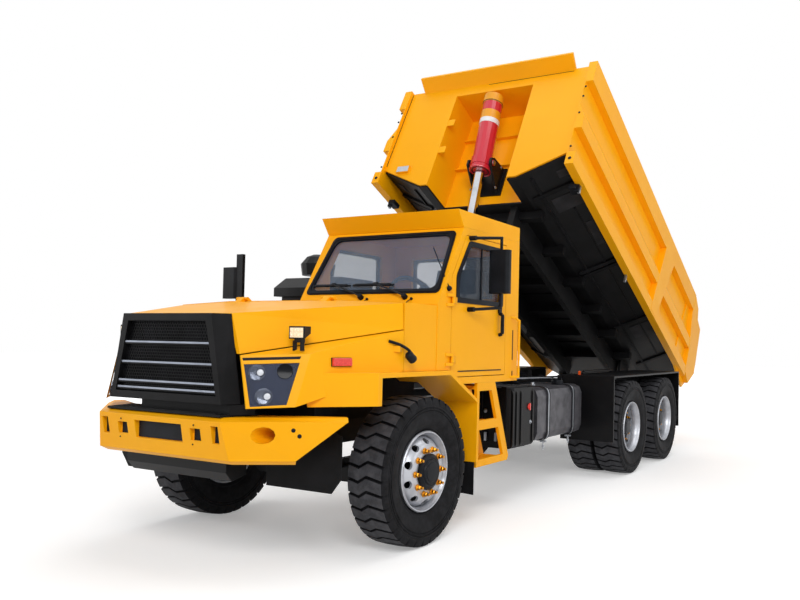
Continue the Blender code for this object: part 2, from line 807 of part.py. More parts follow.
lamp_pocket = loft([
    [lamp_point(a, b, deep) for a, b in LAMP_GLASS_SHARES] for deep in (-LAMP_DEEP, LAMP_DEEP)
], False)
lamps = [
    rod(lamp_point(a, b, LAMP_DEEP + EMBED), lamp_point(a, b, LAMP_DEEP - LAMP_PROUD), radius, SMALL_STEPS)
    for (a, b), radius in zip(LAMP_SPOT_SHARES, LAMP_RADII)
]
for side, word in ((1, "left"), (-1, "right")):
    outside, hollow = fender_bodies()
    bodies = [*arch_bodies(), outside, hollow, lamp_pocket, *lamps]
    if side < 0:
        bodies = [flipped(b) for b in bodies]
    item = node("fender_" + word, "yellow", bodies[0], cuts=bodies[1:3])
    join(item, Vector((0, 0, 0)), [
        ("UNION", bodies[3]),
        ("DIFFERENCE", bodies[4]),
        ("DIFFERENCE", bodies[5]),
    ] + [("UNION", b) for b in bodies[6:]])

# The cowl between hood and cab, across the whole front
COWL_LOW = 1.3155
COWL_EDGE = 1.815
COWL_TOP = 1.84
COWL_FLAT_SHARE = 0.515
cowl_flat = COWL_FLAT_SHARE * BODY_HALF
cowl_outline = [
    (-BODY_HALF, COWL_LOW),
    (-BODY_HALF, COWL_EDGE),
    (-cowl_flat, COWL_TOP),
    (cowl_flat, COWL_TOP),
    (BODY_HALF, COWL_EDGE),
    (BODY_HALF, COWL_LOW),
    (BODY_HALF - SKIN, COWL_LOW),
    (BODY_HALF - SKIN, COWL_EDGE - SKIN),
    (cowl_flat, COWL_TOP - SKIN),
    (-cowl_flat, COWL_TOP - SKIN),
    (-BODY_HALF + SKIN, COWL_EDGE - SKIN),
    (-BODY_HALF + SKIN, COWL_LOW),
]
node("cowl", "yellow", plate("Y", HOOD_REAR + MOVE_GAP, COWL_REAR, cowl_outline), adds=cowl_hinges)

# The cab
CAB_TOE_Y = (0.281, 0.476)
TOE_STEP = 0.013
INNER_RAKE = 1.6
cab_outer = plate("X", CAB_RIGHT, CAB_LEFT, [
    (CAB_FRONT, CAB_TOE_Z),
    (CAB_TOE_Y[0], CAB_TOE_Z),
    (CAB_TOE_Y[1], CAB_LOW),
    (CAB_REAR, CAB_LOW),
    (CAB_REAR, EAVE_Z),
    (EAVE_FRONT, EAVE_Z),
    (CAB_FRONT, BELT_Z),
])
cab_inner = plate("X", CAB_RIGHT + CAB_WALL, CAB_LEFT - CAB_WALL, [
    (CAB_FRONT + CAB_WALL, CAB_TOE_Z + CAB_WALL),
    (CAB_TOE_Y[0] + TOE_STEP, CAB_TOE_Z + CAB_WALL),
    (CAB_TOE_Y[1] + TOE_STEP, CAB_LOW + CAB_WALL),
    (CAB_REAR - CAB_WALL, CAB_LOW + CAB_WALL),
    (CAB_REAR - CAB_WALL, EAVE_Z + CAB_WALL),
    (EAVE_FRONT + CAB_WALL * INNER_RAKE, EAVE_Z + CAB_WALL),
    (CAB_FRONT + CAB_WALL, BELT_Z),
])
DOOR_FRONT = 0.31
DOOR_LOW = 1.262
DOOR_LENGTH = 0.90
DOOR_HEIGHT = 1.148
DOOR_REAR = DOOR_FRONT + DOOR_LENGTH
DOOR_TOP = DOOR_LOW + DOOR_HEIGHT
DOOR_SHARES = ((0.0, 0.038), (0.086, 0.0), (1.0, 0.0), (1.0, 1.0), (0.233, 1.0), (0.0, 0.695))
DOOR_WINDOW_SHARES = ((0.083, 0.530), (0.922, 0.530), (0.922, 0.956), (0.289, 0.956), (0.083, 0.704))
door_outline = spread(DOOR_SHARES, (DOOR_FRONT, DOOR_LOW), (DOOR_REAR, DOOR_TOP))
door_window = spread(DOOR_WINDOW_SHARES, (DOOR_FRONT, DOOR_LOW), (DOOR_REAR, DOOR_TOP))
door_hole = plate("X", CAB_LEFT - 2 * CAB_WALL, CAB_LEFT + CAB_WALL, grown(door_outline, MOVE_GAP))

SCREEN_Z = (1.93, 2.43)
SCREEN_INSET = (0.055, 0.040, 0.070, 0.110)
REAR_WINDOW_INSET = 0.25
REAR_WINDOW_Z = (1.95, 2.35)
SIDE_WINDOW_Y = (0.45, 1.20)
SIDE_WINDOW_Z = (1.90, 2.36)
SIDE_WINDOW_SHARES = ((0.0, 0.0), (1.0, 0.0), (1.0, 1.0), (0.173, 1.0), (0.0, 0.522))
SCREEN = (
    (CAB_RIGHT + SCREEN_INSET[0], SCREEN_Z[0]),
    (CAB_LEFT - SCREEN_INSET[1], SCREEN_Z[0]),
    (CAB_LEFT - SCREEN_INSET[2], SCREEN_Z[1]),
    (CAB_RIGHT + SCREEN_INSET[3], SCREEN_Z[1]),
)
REAR_WINDOW = (
    (CAB_RIGHT + REAR_WINDOW_INSET, REAR_WINDOW_Z[0]),
    (CAB_LEFT - REAR_WINDOW_INSET, REAR_WINDOW_Z[0]),
    (CAB_LEFT - REAR_WINDOW_INSET, REAR_WINDOW_Z[1]),
    (CAB_RIGHT + REAR_WINDOW_INSET, REAR_WINDOW_Z[1]),
)
side_window = spread(SIDE_WINDOW_SHARES, (SIDE_WINDOW_Y[0], SIDE_WINDOW_Z[0]),
                     (SIDE_WINDOW_Y[1], SIDE_WINDOW_Z[1]))
screen_hole = plate("Y", CAB_FRONT - OVERRUN, EAVE_FRONT + 2 * CAB_WALL + OVERRUN, SCREEN)
rear_hole = plate("Y", CAB_REAR - 2 * CAB_WALL, CAB_REAR + CAB_WALL, REAR_WINDOW)
side_hole = plate("X", CAB_RIGHT - CAB_WALL, CAB_RIGHT + 2 * CAB_WALL, side_window)

DOOR_HINGE_Z = (1.40, 1.87)
DOOR_HINGE_WIDTH = 0.05
DOOR_HINGE_OUT = 0.017
LEAF_OUT = 0.008
LEAF_NEAR = (0.01, 0.02)
LEAF_FAR = (0.07, 0.08)
DOOR_PIVOT = (CAB_LEFT + DOOR_HINGE_OUT, DOOR_FRONT - MOVE_GAP / 2)
door_hinges = []
cab_hinges = []
for z in DOOR_HINGE_Z:
    moving, fixed = hinge("Z", DOOR_PIVOT, z, DOOR_HINGE_WIDTH, HINGE_PIN_R, HINGE_EAR_R, [
        (CAB_LEFT - EMBED, DOOR_FRONT + LEAF_NEAR[0]),
        (CAB_LEFT - EMBED, DOOR_FRONT + LEAF_FAR[0]),
        (CAB_LEFT + LEAF_OUT, DOOR_FRONT + LEAF_FAR[0]),
    ], [
        (CAB_LEFT - EMBED, DOOR_FRONT - LEAF_NEAR[1]),
        (CAB_LEFT - EMBED, DOOR_FRONT - LEAF_FAR[1]),
        (CAB_LEFT + LEAF_OUT, DOOR_FRONT - LEAF_FAR[1]),
    ])
    door_hinges += moving
    cab_hinges += fixed

# The grab rail behind the door
RAIL_STANDS = 0.05
RAIL_Y = (1.325, 1.390)
GRAB_Z = (1.235, 1.775)
GRAB_BEND = 0.03
GRAB_R = 0.012
grab_rail = bent([
    (CAB_LEFT - EMBED, RAIL_Y[0], GRAB_Z[0]),
    (CAB_LEFT + RAIL_STANDS, RAIL_Y[1], GRAB_Z[0]),
    (CAB_LEFT + RAIL_STANDS, RAIL_Y[1], GRAB_Z[1] - GRAB_BEND),
    (CAB_LEFT + RAIL_STANDS / 2, (RAIL_Y[0] + RAIL_Y[1]) / 2, GRAB_Z[1]),
    (CAB_LEFT - EMBED, RAIL_Y[0], GRAB_Z[1]),
], GRAB_R)
node("cab_body", "yellow", cab_outer, adds=cab_hinges + [grab_rail],
     cuts=[cab_inner, door_hole, screen_hole, rear_hole, side_hole])

ROOF_BACKSET = 0.005
roof = plate("X", CAB_RIGHT, CAB_LEFT, [
    (EAVE_FRONT - ROOF_BACKSET, EAVE_Z + GAP),
    (CAB_REAR, EAVE_Z + GAP),
    (CAB_REAR, ROOF_Z),
    (VISOR_FRONT, ROOF_Z),
])
node("cab_roof", "yellow", roof)

# Glass panes
PANE = 0.006
SCREEN_SUNK = 0.010
WINDOW_SUNK = 0.030
SIDE_SUNK = 0.020


def screen_point(x, z, deep):
    """A point on the raked windscreen, at a depth behind its outer face."""
    share = (z - BELT_Z) / (EAVE_Z - BELT_Z)
    y = CAB_FRONT + share * (EAVE_FRONT - CAB_FRONT)
    return (x, y + deep, z)


screen = loft([
    [screen_point(x, z, deep) for x, z in grown(SCREEN, -GAP)] for deep in (SCREEN_SUNK, SCREEN_SUNK + PANE)
])
node("windscreen", "glass", screen)
rear_pane = CAB_REAR - WINDOW_SUNK
side_pane = CAB_RIGHT + SIDE_SUNK
node("rear_window", "glass", plate("Y", rear_pane, rear_pane + PANE, grown(REAR_WINDOW, -GAP)))
node("side_window", "glass", plate("X", side_pane, side_pane + PANE, grown(side_window, -GAP)))

# The door, with its handle and its pane
HANDLE_Y = 1.095
HANDLE_Z = (1.62, 1.79)
HANDLE_OUT = 0.035
HANDLE_R = 0.012
DOOR_AXIS = (DOOR_PIVOT[0], DOOR_PIVOT[1], DOOR_LOW)
handle = bent([
    (CAB_LEFT - EMBED, HANDLE_Y, HANDLE_Z[0]),
    (CAB_LEFT + HANDLE_OUT, HANDLE_Y, HANDLE_Z[0]),
    (CAB_LEFT + HANDLE_OUT, HANDLE_Y, HANDLE_Z[1]),
    (CAB_LEFT - EMBED, HANDLE_Y, HANDLE_Z[1]),
], HANDLE_R)
node("door", "yellow", plate("X", CAB_LEFT - CAB_WALL, CAB_LEFT, door_outline, [door_window[::-1]]),
     adds=door_hinges + [handle], origin=DOOR_AXIS)
door_pane = CAB_LEFT - WINDOW_SUNK
node("door_glass", "glass", plate("X", door_pane, door_pane + PANE, grown(door_window, -GAP)), origin=DOOR_AXIS)

# Inside the cab: seat, dash, steering column and wheel
SEAT_SHARE = 0.613
SEAT_HALF = 0.24
SEAT_Y = (0.76, 1.39)
SEAT_TOP = 2.22
SEAT_SHARES = (
    (0.127, 0.0), (0.730, 0.0), (0.794, 0.361), (1.0, 0.979), (0.857, 1.0),
    (0.619, 0.454), (0.0, 0.423), (0.0, 0.309), (0.159, 0.289),
)
SEAT_X = CAB_RIGHT + SEAT_SHARE * (CAB_LEFT - CAB_RIGHT)
seat_low = CAB_LOW + CAB_WALL + GAP
node("seat", "fabric", plate("X", SEAT_X - SEAT_HALF, SEAT_X + SEAT_HALF,
                             spread(SEAT_SHARES, (SEAT_Y[0], seat_low), (SEAT_Y[1], SEAT_TOP))))
DASH_REAR = 0.44
DASH_Z = (1.50, 1.84)
DASH_SHARES = ((0.0, 0.0), (0.929, 0.176), (1.0, 0.765), (0.286, 1.0), (0.0, 0.882))
COLUMN_Y = (0.32, 0.56)
COLUMN_Z = (1.66, 1.90)
COLUMN_R = 0.03
STEERING_R = 0.215
STEERING_BAR = 0.015
SPOKE_HALF = 0.011
SPOKE_TALL = 0.022
dash_low = CAB_FRONT + CAB_WALL + GAP
dash = plate("X", CAB_RIGHT + CAB_WALL + GAP, CAB_LEFT - CAB_WALL - GAP,
             spread(DASH_SHARES, (dash_low, DASH_Z[0]), (DASH_REAR, DASH_Z[1])))
column = rod((SEAT_X, COLUMN_Y[0], COLUMN_Z[0]), (SEAT_X, COLUMN_Y[1], COLUMN_Z[1]), COLUMN_R)
ring = turned([
    (-STEERING_BAR, STEERING_R - STEERING_BAR),
    (STEERING_BAR, STEERING_R - STEERING_BAR),
    (STEERING_BAR, STEERING_R + STEERING_BAR),
    (-STEERING_BAR, STEERING_R + STEERING_BAR),
], 2 * BAR_STEPS, closed=True)
spoke = box((-SPOKE_HALF, SPOKE_HALF + GAP), (-STEERING_R, STEERING_R + GAP), (-SPOKE_TALL, SPOKE_TALL + GAP))
lean = Vector((0, DASH_SHARES[2][0], DASH_SHARES[2][1]))
tilt = Vector((1, 0, 0)).rotation_difference(lean).to_matrix()
at_wheel = Vector((SEAT_X, COLUMN_Y[1], COLUMN_Z[1]))
ring = ([tilt @ p + at_wheel for p in ring[0]], ring[1])
spoke = ([tilt @ p + at_wheel for p in spoke[0]], spoke[1])
node("dash", "fabric", dash, adds=[column, spoke, ring])

# Steps under the door: a pierced outer cheek, an inner cheek and three treads
STEP_T = 0.03
STEP_IN = 0.27
STEP_FRONT = 0.74
STEP_REAR = 1.32
STEP_LOW = 0.49
TREAD_T = 0.03
TREAD_EMBED = 0.01
CHEEK_SHARES = ((0.0, 0.0), (0.966, 0.0), (1.0, 0.056), (0.534, 1.0), (0.0, 1.0))
CHEEK_HOLE_SHARES = (
    ((0.069, 0.085), (0.069, 0.437), (0.655, 0.437), (0.828, 0.085)),
    ((0.069, 0.550), (0.069, 0.902), (0.431, 0.902), (0.603, 0.550)),
)
INNER_CHEEK_SHARES = ((0.0, 0.014), (0.966, 0.014), (0.483, 1.0), (0.0, 1.0))
TREAD_SHARES = (
    # how far back it reaches, its height
    (0.966, 0.028),
    (0.741, 0.493),
    (0.517, 0.944),
)
step_low = (STEP_FRONT, STEP_LOW)
step_high = (STEP_REAR, CAB_LOW - GAP)
step_in = CAB_LEFT - STEP_IN
treads = []
for reach, height in TREAD_SHARES:
    y_end, z = spread([(reach, height)], step_low, step_high)[0]
    treads.append(box((step_in + TREAD_EMBED, CAB_LEFT), (STEP_FRONT, y_end), about(z, TREAD_T / 2)))
cheek = plate("X", CAB_LEFT - STEP_T, CAB_LEFT, spread(CHEEK_SHARES, step_low, step_high),
              [spread(shares, step_low, step_high) for shares in CHEEK_HOLE_SHARES])
inner_cheek = plate("X", step_in, step_in + STEP_T, spread(INNER_CHEEK_SHARES, step_low, step_high))
node("steps", "yellow", cheek, adds=[inner_cheek] + treads)

# Battery box and fuel tank, both on brackets from the left rail
SIDE_BOX_IN = 0.56
SIDE_BOX_OUT = 1.10
BATTERY_AFTER = 0.04
BATTERY_LONG = 0.48
BATTERY_Z = (0.56, 1.12)
BATTERY_ROUND = 0.05
RIB_PROUD = 0.012
RIB_HALF = 0.028
RIB_COUNT = 4
RIB_INSET = 0.05
TANK_AFTER = 0.08
TANK_LONG = 1.14
TANK_Z = (0.56, 1.10)
TANK_ROUND = 0.09
STRAP_HALF = 0.035
STRAP_PROUD = 0.006
STRAP_SHARES = (0.22, 0.78)
FILLER_R = 0.055
FILLER_H = 0.045
FILLER_SHARE = 0.72
FILLER_IN = 0.16
BRACKET_HALF = 0.06
BRACKET_Z = (0.76, 0.98)
BATTERY_BRACKET_Z = (0.80, 0.98)
BATTERY_BRACKET_INSET = 0.10
battery_y = (CAB_REAR + BATTERY_AFTER, CAB_REAR + BATTERY_AFTER + BATTERY_LONG)
battery_ribs = []
first_rib = SIDE_BOX_IN + RIB_INSET + RIB_HALF
last_rib = SIDE_BOX_OUT - RIB_INSET - RIB_HALF
for i in range(RIB_COUNT):
    x = first_rib + i * (last_rib - first_rib) / (RIB_COUNT - 1)
    battery_ribs.append(box(about(x, RIB_HALF), (battery_y[0] - RIB_PROUD, battery_y[1] - BATTERY_ROUND),
                            (BATTERY_Z[0] + RIB_INSET, BATTERY_Z[1] + RIB_PROUD)))
node("battery_box", "black", plate("Z", BATTERY_Z[0], BATTERY_Z[1], rounded(
    (SIDE_BOX_IN, battery_y[0]), (SIDE_BOX_OUT, battery_y[1]), BATTERY_ROUND, 2)), adds=battery_ribs + [
        box((RAIL_OUT + GAP, SIDE_BOX_IN + EMBED),
            (battery_y[0] + BATTERY_BRACKET_INSET, battery_y[1] - BATTERY_BRACKET_INSET), BATTERY_BRACKET_Z),
    ])
tank_y = (battery_y[1] + TANK_AFTER, battery_y[1] + TANK_AFTER + TANK_LONG)
tank_low = (SIDE_BOX_IN, TANK_Z[0])
tank_high = (SIDE_BOX_OUT, TANK_Z[1])
tank_adds = []
for share in STRAP_SHARES:
    y = tank_y[0] + share * TANK_LONG
    strap = rounded((tank_low[0] - STRAP_PROUD, tank_low[1] - STRAP_PROUD),
                    (tank_high[0] + STRAP_PROUD, tank_high[1] + STRAP_PROUD), TANK_ROUND, 2)
    tank_adds.append(plate("Y", y - STRAP_HALF, y + STRAP_HALF, strap))
    tank_adds.append(box((RAIL_OUT + GAP, SIDE_BOX_IN + EMBED), about(y, BRACKET_HALF), BRACKET_Z))
filler = (SIDE_BOX_OUT - FILLER_IN, tank_y[0] + FILLER_SHARE * TANK_LONG)
tank_adds.append(rod((*filler, TANK_Z[1] - EMBED), (*filler, TANK_Z[1] + FILLER_H), FILLER_R, SMALL_STEPS))
tank = plate("Y", tank_y[0], tank_y[1], rounded(tank_low, tank_high, TANK_ROUND, 2))
node("fuel_tank", "black", tank, adds=tank_adds)

# Rear mudguards
GUARD_IN = 0.74
GUARD_OUT = 1.40
GUARD_AHEAD = 0.67
GUARD_BEHIND = 0.71
GUARD_LOW = 0.40
GUARD_TOP = 1.19
GUARD_ARM_Z = (0.97, 1.02)
GUARD_ARM_HALF = 0.03
GUARD_ARM_STEP = 0.04
GUARD_SHARES = (
    (0.0, 0.051), (0.007, 0.051), (0.007, 0.975), (0.986, 0.975),
    (0.993, 0.0), (1.0, 0.0), (0.993, 1.0), (0.0, 1.0),
)
guard_y = (AXLE_2 - GUARD_AHEAD, AXLE_3 + GUARD_BEHIND)
guard_outline = spread(GUARD_SHARES, (guard_y[0], GUARD_LOW), (guard_y[1], GUARD_TOP))
arm_y = guard_y[0] + GUARD_ARM_STEP / 4
for side, word in ((1, "left"), (-1, "right")):
    guard = plate("X", GUARD_IN, GUARD_OUT, guard_outline)
    arms = [
        box((RAIL_OUT + GAP, GUARD_IN + EMBED), about(arm_y, GUARD_ARM_HALF), GUARD_ARM_Z),
        box((GUARD_IN - GUARD_ARM_STEP, GUARD_IN + EMBED), about(arm_y, GUARD_ARM_HALF + GAP),
            (GUARD_ARM_Z[0] - GAP, GUARD_TOP - MOVE_GAP)),
    ]
    if side < 0:
        guard = flipped(guard)
        arms = [flipped(a) for a in arms]
    node("mudguard_" + word, "black", guard, adds=arms)

# Air cleaner on the right behind the hood, under a lid with a sloped front
AIR_X = (-0.88, -0.30)
AIR_Y = (0.56, 1.06)
AIR_LOW = 1.40
LID_OUT = -0.925
LID_Y = (0.50, 1.12)
LID_Z = (1.935, 2.119)
LID_SHARES = ((0.0, 0.0), (1.0, 0.0), (1.0, 1.0), (0.242, 1.0), (0.0, 0.435))
LEG_HALF = 0.03
LEG_X = (RAIL_IN + RAIL_OUT) / 2
INTAKE_X = -0.75
INTAKE_Y = 0.90
INTAKE_R = 0.07
INTAKE_CAP_R = 0.165
INTAKE_H = 0.246
INTAKE_STEPS = 14
INTAKE_SHARES = ((0.167, 0.0), (0.167, 0.909), (0.614, 1.0), (0.898, 0.667), (1.0, 0.303), (1.0, 0.0))
INTAKE_NECK = (0.019, 0.051)
air_adds = [box(AIR_X, AIR_Y, (AIR_LOW, LID_Z[0] + EMBED))]
for y in (CAB_MOUNT_FRONT, AIR_MOUNT_REAR):
    leg_z = (CAB_LOW, AIR_LOW + 2 * EMBED)
    air_adds.append(box(about(-LEG_X, LEG_HALF), about(CAB_FRONT + y, LEG_HALF), leg_z))
air_adds.append(rod(
    (INTAKE_X, INTAKE_Y, LID_Z[1] - INTAKE_NECK[0]),
    (INTAKE_X, INTAKE_Y, LID_Z[1] + INTAKE_NECK[1]),
    INTAKE_R,
    SMALL_STEPS,
))
intake = spread(INTAKE_SHARES, (LID_Z[1], 0), (LID_Z[1] + INTAKE_H, INTAKE_CAP_R))
air_adds.append(turned(intake, INTAKE_STEPS, (INTAKE_X, INTAKE_Y, 0), "Z"))
lid_outline = spread(LID_SHARES, (LID_Y[0], LID_Z[0]), (LID_Y[1], LID_Z[1]))
node("air_cleaner", "black", plate("X", LID_OUT, CAB_RIGHT - GAP, lid_outline), adds=air_adds)

# Mirrors: the left one is carried by the door, the right one by the cowl
ARM_R = 0.013
BASE_R = 0.020
ARM_REACH = 0.155
ARM_Y = 0.83
HEAD_ROUND = 0.030
HEAD_IN = 0.050
HEAD_OUT = 0.242
HEAD_Y = (0.790, 0.870)
HEAD_Z = (1.955, 2.322)
BASE_REACH = 0.06
ARM_SHARES = (
    # up the mirror's head: at the door, at the bend, at the end. Then the base's place towards the arm's.
    (1.202, 1.281, 0.940, 0.687),
    (-0.398, -0.327, 0.041, 0.675),
)
arm_x = CAB_LEFT + ARM_REACH
mirror_arms = []
for row in ARM_SHARES:
    door_z, bend_z, end_z = [HEAD_Z[0] + share * (HEAD_Z[1] - HEAD_Z[0]) for share in row[:3]]
    base_y = row[3] * ARM_Y
    mirror_arms.append(rod((CAB_LEFT + GAP, base_y, door_z), (CAB_LEFT + BASE_REACH, base_y, door_z), BASE_R))
    mirror_arms.append(bent([
        (CAB_LEFT + BASE_REACH - 2 * EMBED, base_y, door_z),
        (arm_x, ARM_Y, bend_z),
        (arm_x, ARM_Y, end_z),
    ], ARM_R))
head_outline = rounded((CAB_LEFT + HEAD_IN, HEAD_Y[0]), (CAB_LEFT + HEAD_OUT, HEAD_Y[1]), HEAD_ROUND)
node("mirror_left", "black", plate("Z", HEAD_Z[0], HEAD_Z[1], head_outline), adds=mirror_arms, origin=DOOR_AXIS)

SMALL_HEAD_OUT = 0.045
SMALL_HEAD_W = 0.17
SMALL_HEAD_Y = (0.060, 0.130)
SMALL_HEAD_Z = (1.89, 2.17)
SMALL_ROUND = 0.025
SMALL_BAR_W = 0.075
SMALL_BAR_Y = (0.075, 0.105)
SMALL_BAR_Z = (1.86, 2.285)
SMALL_FOOT_IN = 0.250
SMALL_FOOT_Y = 0.09
SMALL_FOOT_RISE = 0.0009
small_out = -BODY_HALF + SMALL_HEAD_OUT
small_in = small_out + SMALL_HEAD_W
foot_x = -BODY_HALF + SMALL_FOOT_IN
foot_z = COWL_TOP - (COWL_TOP - COWL_EDGE) * (-foot_x - cowl_flat) / (BODY_HALF - cowl_flat) + SMALL_FOOT_RISE
node("mirror_right", "black", plate("Z", SMALL_HEAD_Z[0], SMALL_HEAD_Z[1], rounded(
    (small_out, SMALL_HEAD_Y[0]), (small_in, SMALL_HEAD_Y[1]), SMALL_ROUND)), adds=[
        box((small_in - 2 * EMBED, small_in - 2 * EMBED + SMALL_BAR_W), SMALL_BAR_Y, SMALL_BAR_Z),
        rod((foot_x, SMALL_FOOT_Y, foot_z), (foot_x, SMALL_FOOT_Y, SMALL_HEAD_Z[0]), ARM_R),
    ])

# Front axle beam with its leaf springs
KING_INSET = 0.238
KING_EAR = 0.055
KING_X = TRACK_FRONT - KING_INSET
AXLE_HALF = 0.05
BEAM_END = 0.013
BEAM_LOW = 0.42
BEAM_TOP = 0.61
BEAM_SHARES = (
    (-1.0, 0.474), (-0.747, 0.474), (-0.598, 0.0), (0.598, 0.0), (0.747, 0.474), (1.0, 0.474),
    (1.0, 1.0), (0.722, 1.0), (0.585, 0.684), (-0.585, 0.684), (-0.722, 1.0), (-1.0, 1.0),
)
SPRING_HALF = 0.035
SPRING_LONG = 0.72
SPRING_LOW = 0.53
SPRING_SHARES = (
    (-1.0, 1.0), (-1.0, 0.751), (-0.556, 0.351), (-0.139, 0.0), (0.139, 0.0), (0.556, 0.351), (1.0, 0.751),
    (1.0, 1.0), (0.917, 1.0), (0.5, 0.551), (0.139, 0.351), (-0.139, 0.351), (-0.5, 0.551), (-0.917, 1.0),
)
BOSS_Z = (0.495, 0.625)
KNUCKLE_Z = (0.44, 0.68)
beam_outline = spread(BEAM_SHARES, (0, BEAM_LOW), (KING_X + BEAM_END, BEAM_TOP))
spring_outline = spread(SPRING_SHARES, (0, SPRING_LOW), (SPRING_LONG, RAIL_LOW - GAP))
spring_x = (RAIL_IN + RAIL_OUT) / 2
axle_adds = []
for side in (1, -1):
    x = side * spring_x
    king = side * KING_X
    axle_adds.append(plate("X", x - SPRING_HALF, x + SPRING_HALF, spring_outline))
    axle_adds.append(rod((king, 0, BOSS_Z[0]), (king, 0, BOSS_Z[1]), KING_EAR, SMALL_STEPS))
node("front_axle", "black", plate("Y", -AXLE_HALF, AXLE_HALF, beam_outline), adds=axle_adds)

# Knuckles
KNUCKLE_OUT = TRACK_FRONT - HUB_BACK - PIN_GAP
knuckle_in = KING_X - KING_EAR
knuckle_throat = KING_X + KING_EAR + MOVE_GAP
knuckle_outline = [
    (knuckle_in, KNUCKLE_Z[0]),
    (KNUCKLE_OUT, KNUCKLE_Z[0]),
    (KNUCKLE_OUT, KNUCKLE_Z[1]),
    (knuckle_in, KNUCKLE_Z[1]),
    (knuckle_in, BOSS_Z[1] + PIN_GAP),
    (knuckle_throat, BOSS_Z[1] + PIN_GAP),
    (knuckle_throat, BOSS_Z[0] - PIN_GAP),
    (knuckle_in, BOSS_Z[0] - PIN_GAP),
]
for side, word in ((1, "left"), (-1, "right")):
    ears = plate("Y", -AXLE_HALF, AXLE_HALF, knuckle_outline)
    if side < 0:
        ears = flipped(ears)
    node("knuckle_" + word, "black", ears, origin=(side * KING_X, 0, TYRE_R))

# Rear bogie: two axles, springs and their trunnion
AXLE_TUBE_R = 0.09
BOWL_HALF = 0.20
BOWL_R = 0.21
BOWL_SHARES = ((-1.0, 0.0), (-1.0, 0.476), (-0.45, 1.0), (0.45, 1.0), (1.0, 0.476), (1.0, 0.0))
BOWL_STEPS = 14
BOGIE_SPRING_X = 0.53
BOGIE_SPRING_HALF = 0.045
BOGIE_SPRING_OVER = 0.12
BOGIE_SPRING_Z = (0.64, 0.80)
BOGIE_SPRING_SHARES = (
    (0.0, 0.0), (1.0, 0.0), (1.0, 0.312), (0.741, 0.625),
    (0.574, 1.0), (0.426, 1.0), (0.259, 0.625), (0.0, 0.312),
)
TRUNNION_BAR_Z = 0.60
TRUNNION_BAR_R = 0.06
TRUNNION_BAR_OUT = 0.56
HANGER_X = (0.36, 0.42)
HANGER_HALF = 0.10
SHAFT_R = 0.045
SHAFT_Y = 1.95
SHAFT_Z = (0.79, 0.59)
AXLE_END = DUAL_IN - HUB_BACK - PIN_GAP
bogie_adds = []
for y in (AXLE_2, AXLE_3):
    bogie_adds.append(rod((-AXLE_END, y, TYRE_R), (AXLE_END, y, TYRE_R), AXLE_TUBE_R, SMALL_STEPS))
    bogie_adds.append(turned(spread(BOWL_SHARES, (0, 0), (BOWL_HALF, BOWL_R)), BOWL_STEPS, (0, y, TYRE_R)))
bogie_outline = spread(BOGIE_SPRING_SHARES, (AXLE_2 - BOGIE_SPRING_OVER, BOGIE_SPRING_Z[0]),
                       (AXLE_3 + BOGIE_SPRING_OVER, BOGIE_SPRING_Z[1]))
for side in (1, -1):
    x = side * BOGIE_SPRING_X
    bogie_adds.append(plate("X", x - BOGIE_SPRING_HALF, x + BOGIE_SPRING_HALF, bogie_outline))
    hanger_z = (TRUNNION_BAR_Z, RAIL_LOW - GAP)
    bogie_adds.append(box(pair(side, HANGER_X[0], HANGER_X[1]), about(BOGIE_Y, HANGER_HALF), hanger_z))
bogie_adds.append(rod(
    (-TRUNNION_BAR_OUT, BOGIE_Y, TRUNNION_BAR_Z),
    (TRUNNION_BAR_OUT, BOGIE_Y, TRUNNION_BAR_Z),
    TRUNNION_BAR_R,
    SMALL_STEPS,
))
bogie_adds.append(rod((0, SHAFT_Y, SHAFT_Z[0]), (0, AXLE_2, SHAFT_Z[1]), SHAFT_R))
node("rear_bogie", "black", bogie_adds[0], adds=bogie_adds[1:])

# Wheels: each tyre's tread is a ring of lugs, and its sides, rim and hub are turned
LUG_SHARES = (-0.30, 0.26, 0.34, 0.62)
DISC_FACE = 0.04
DISC_IN = 0.16
RIM_STEP = 0.02
RIM_CONE = 0.03
DISH_OUT = 0.075
HUB_FACE = 0.095
HUB_MID_R = 0.20
HUB_TIP = 0.165
HUB_TIP_STEP = 0.015
DUAL_BACK_R = 0.19
DUAL_BACK_FACE = 0.05
DUAL_DISH = 0.06
DUAL_HUB_TIP = 0.14


def tyre_side(start, sign):
    """One side of a tyre, from its bead to its shoulder, as (along, radius)."""
    return [(start + sign * BEAD_HALF, BEAD_R), (start + sign * BULGE_HALF, BULGE_R),
            (start + sign * SHOULDER_HALF, SHOULDER_R)]


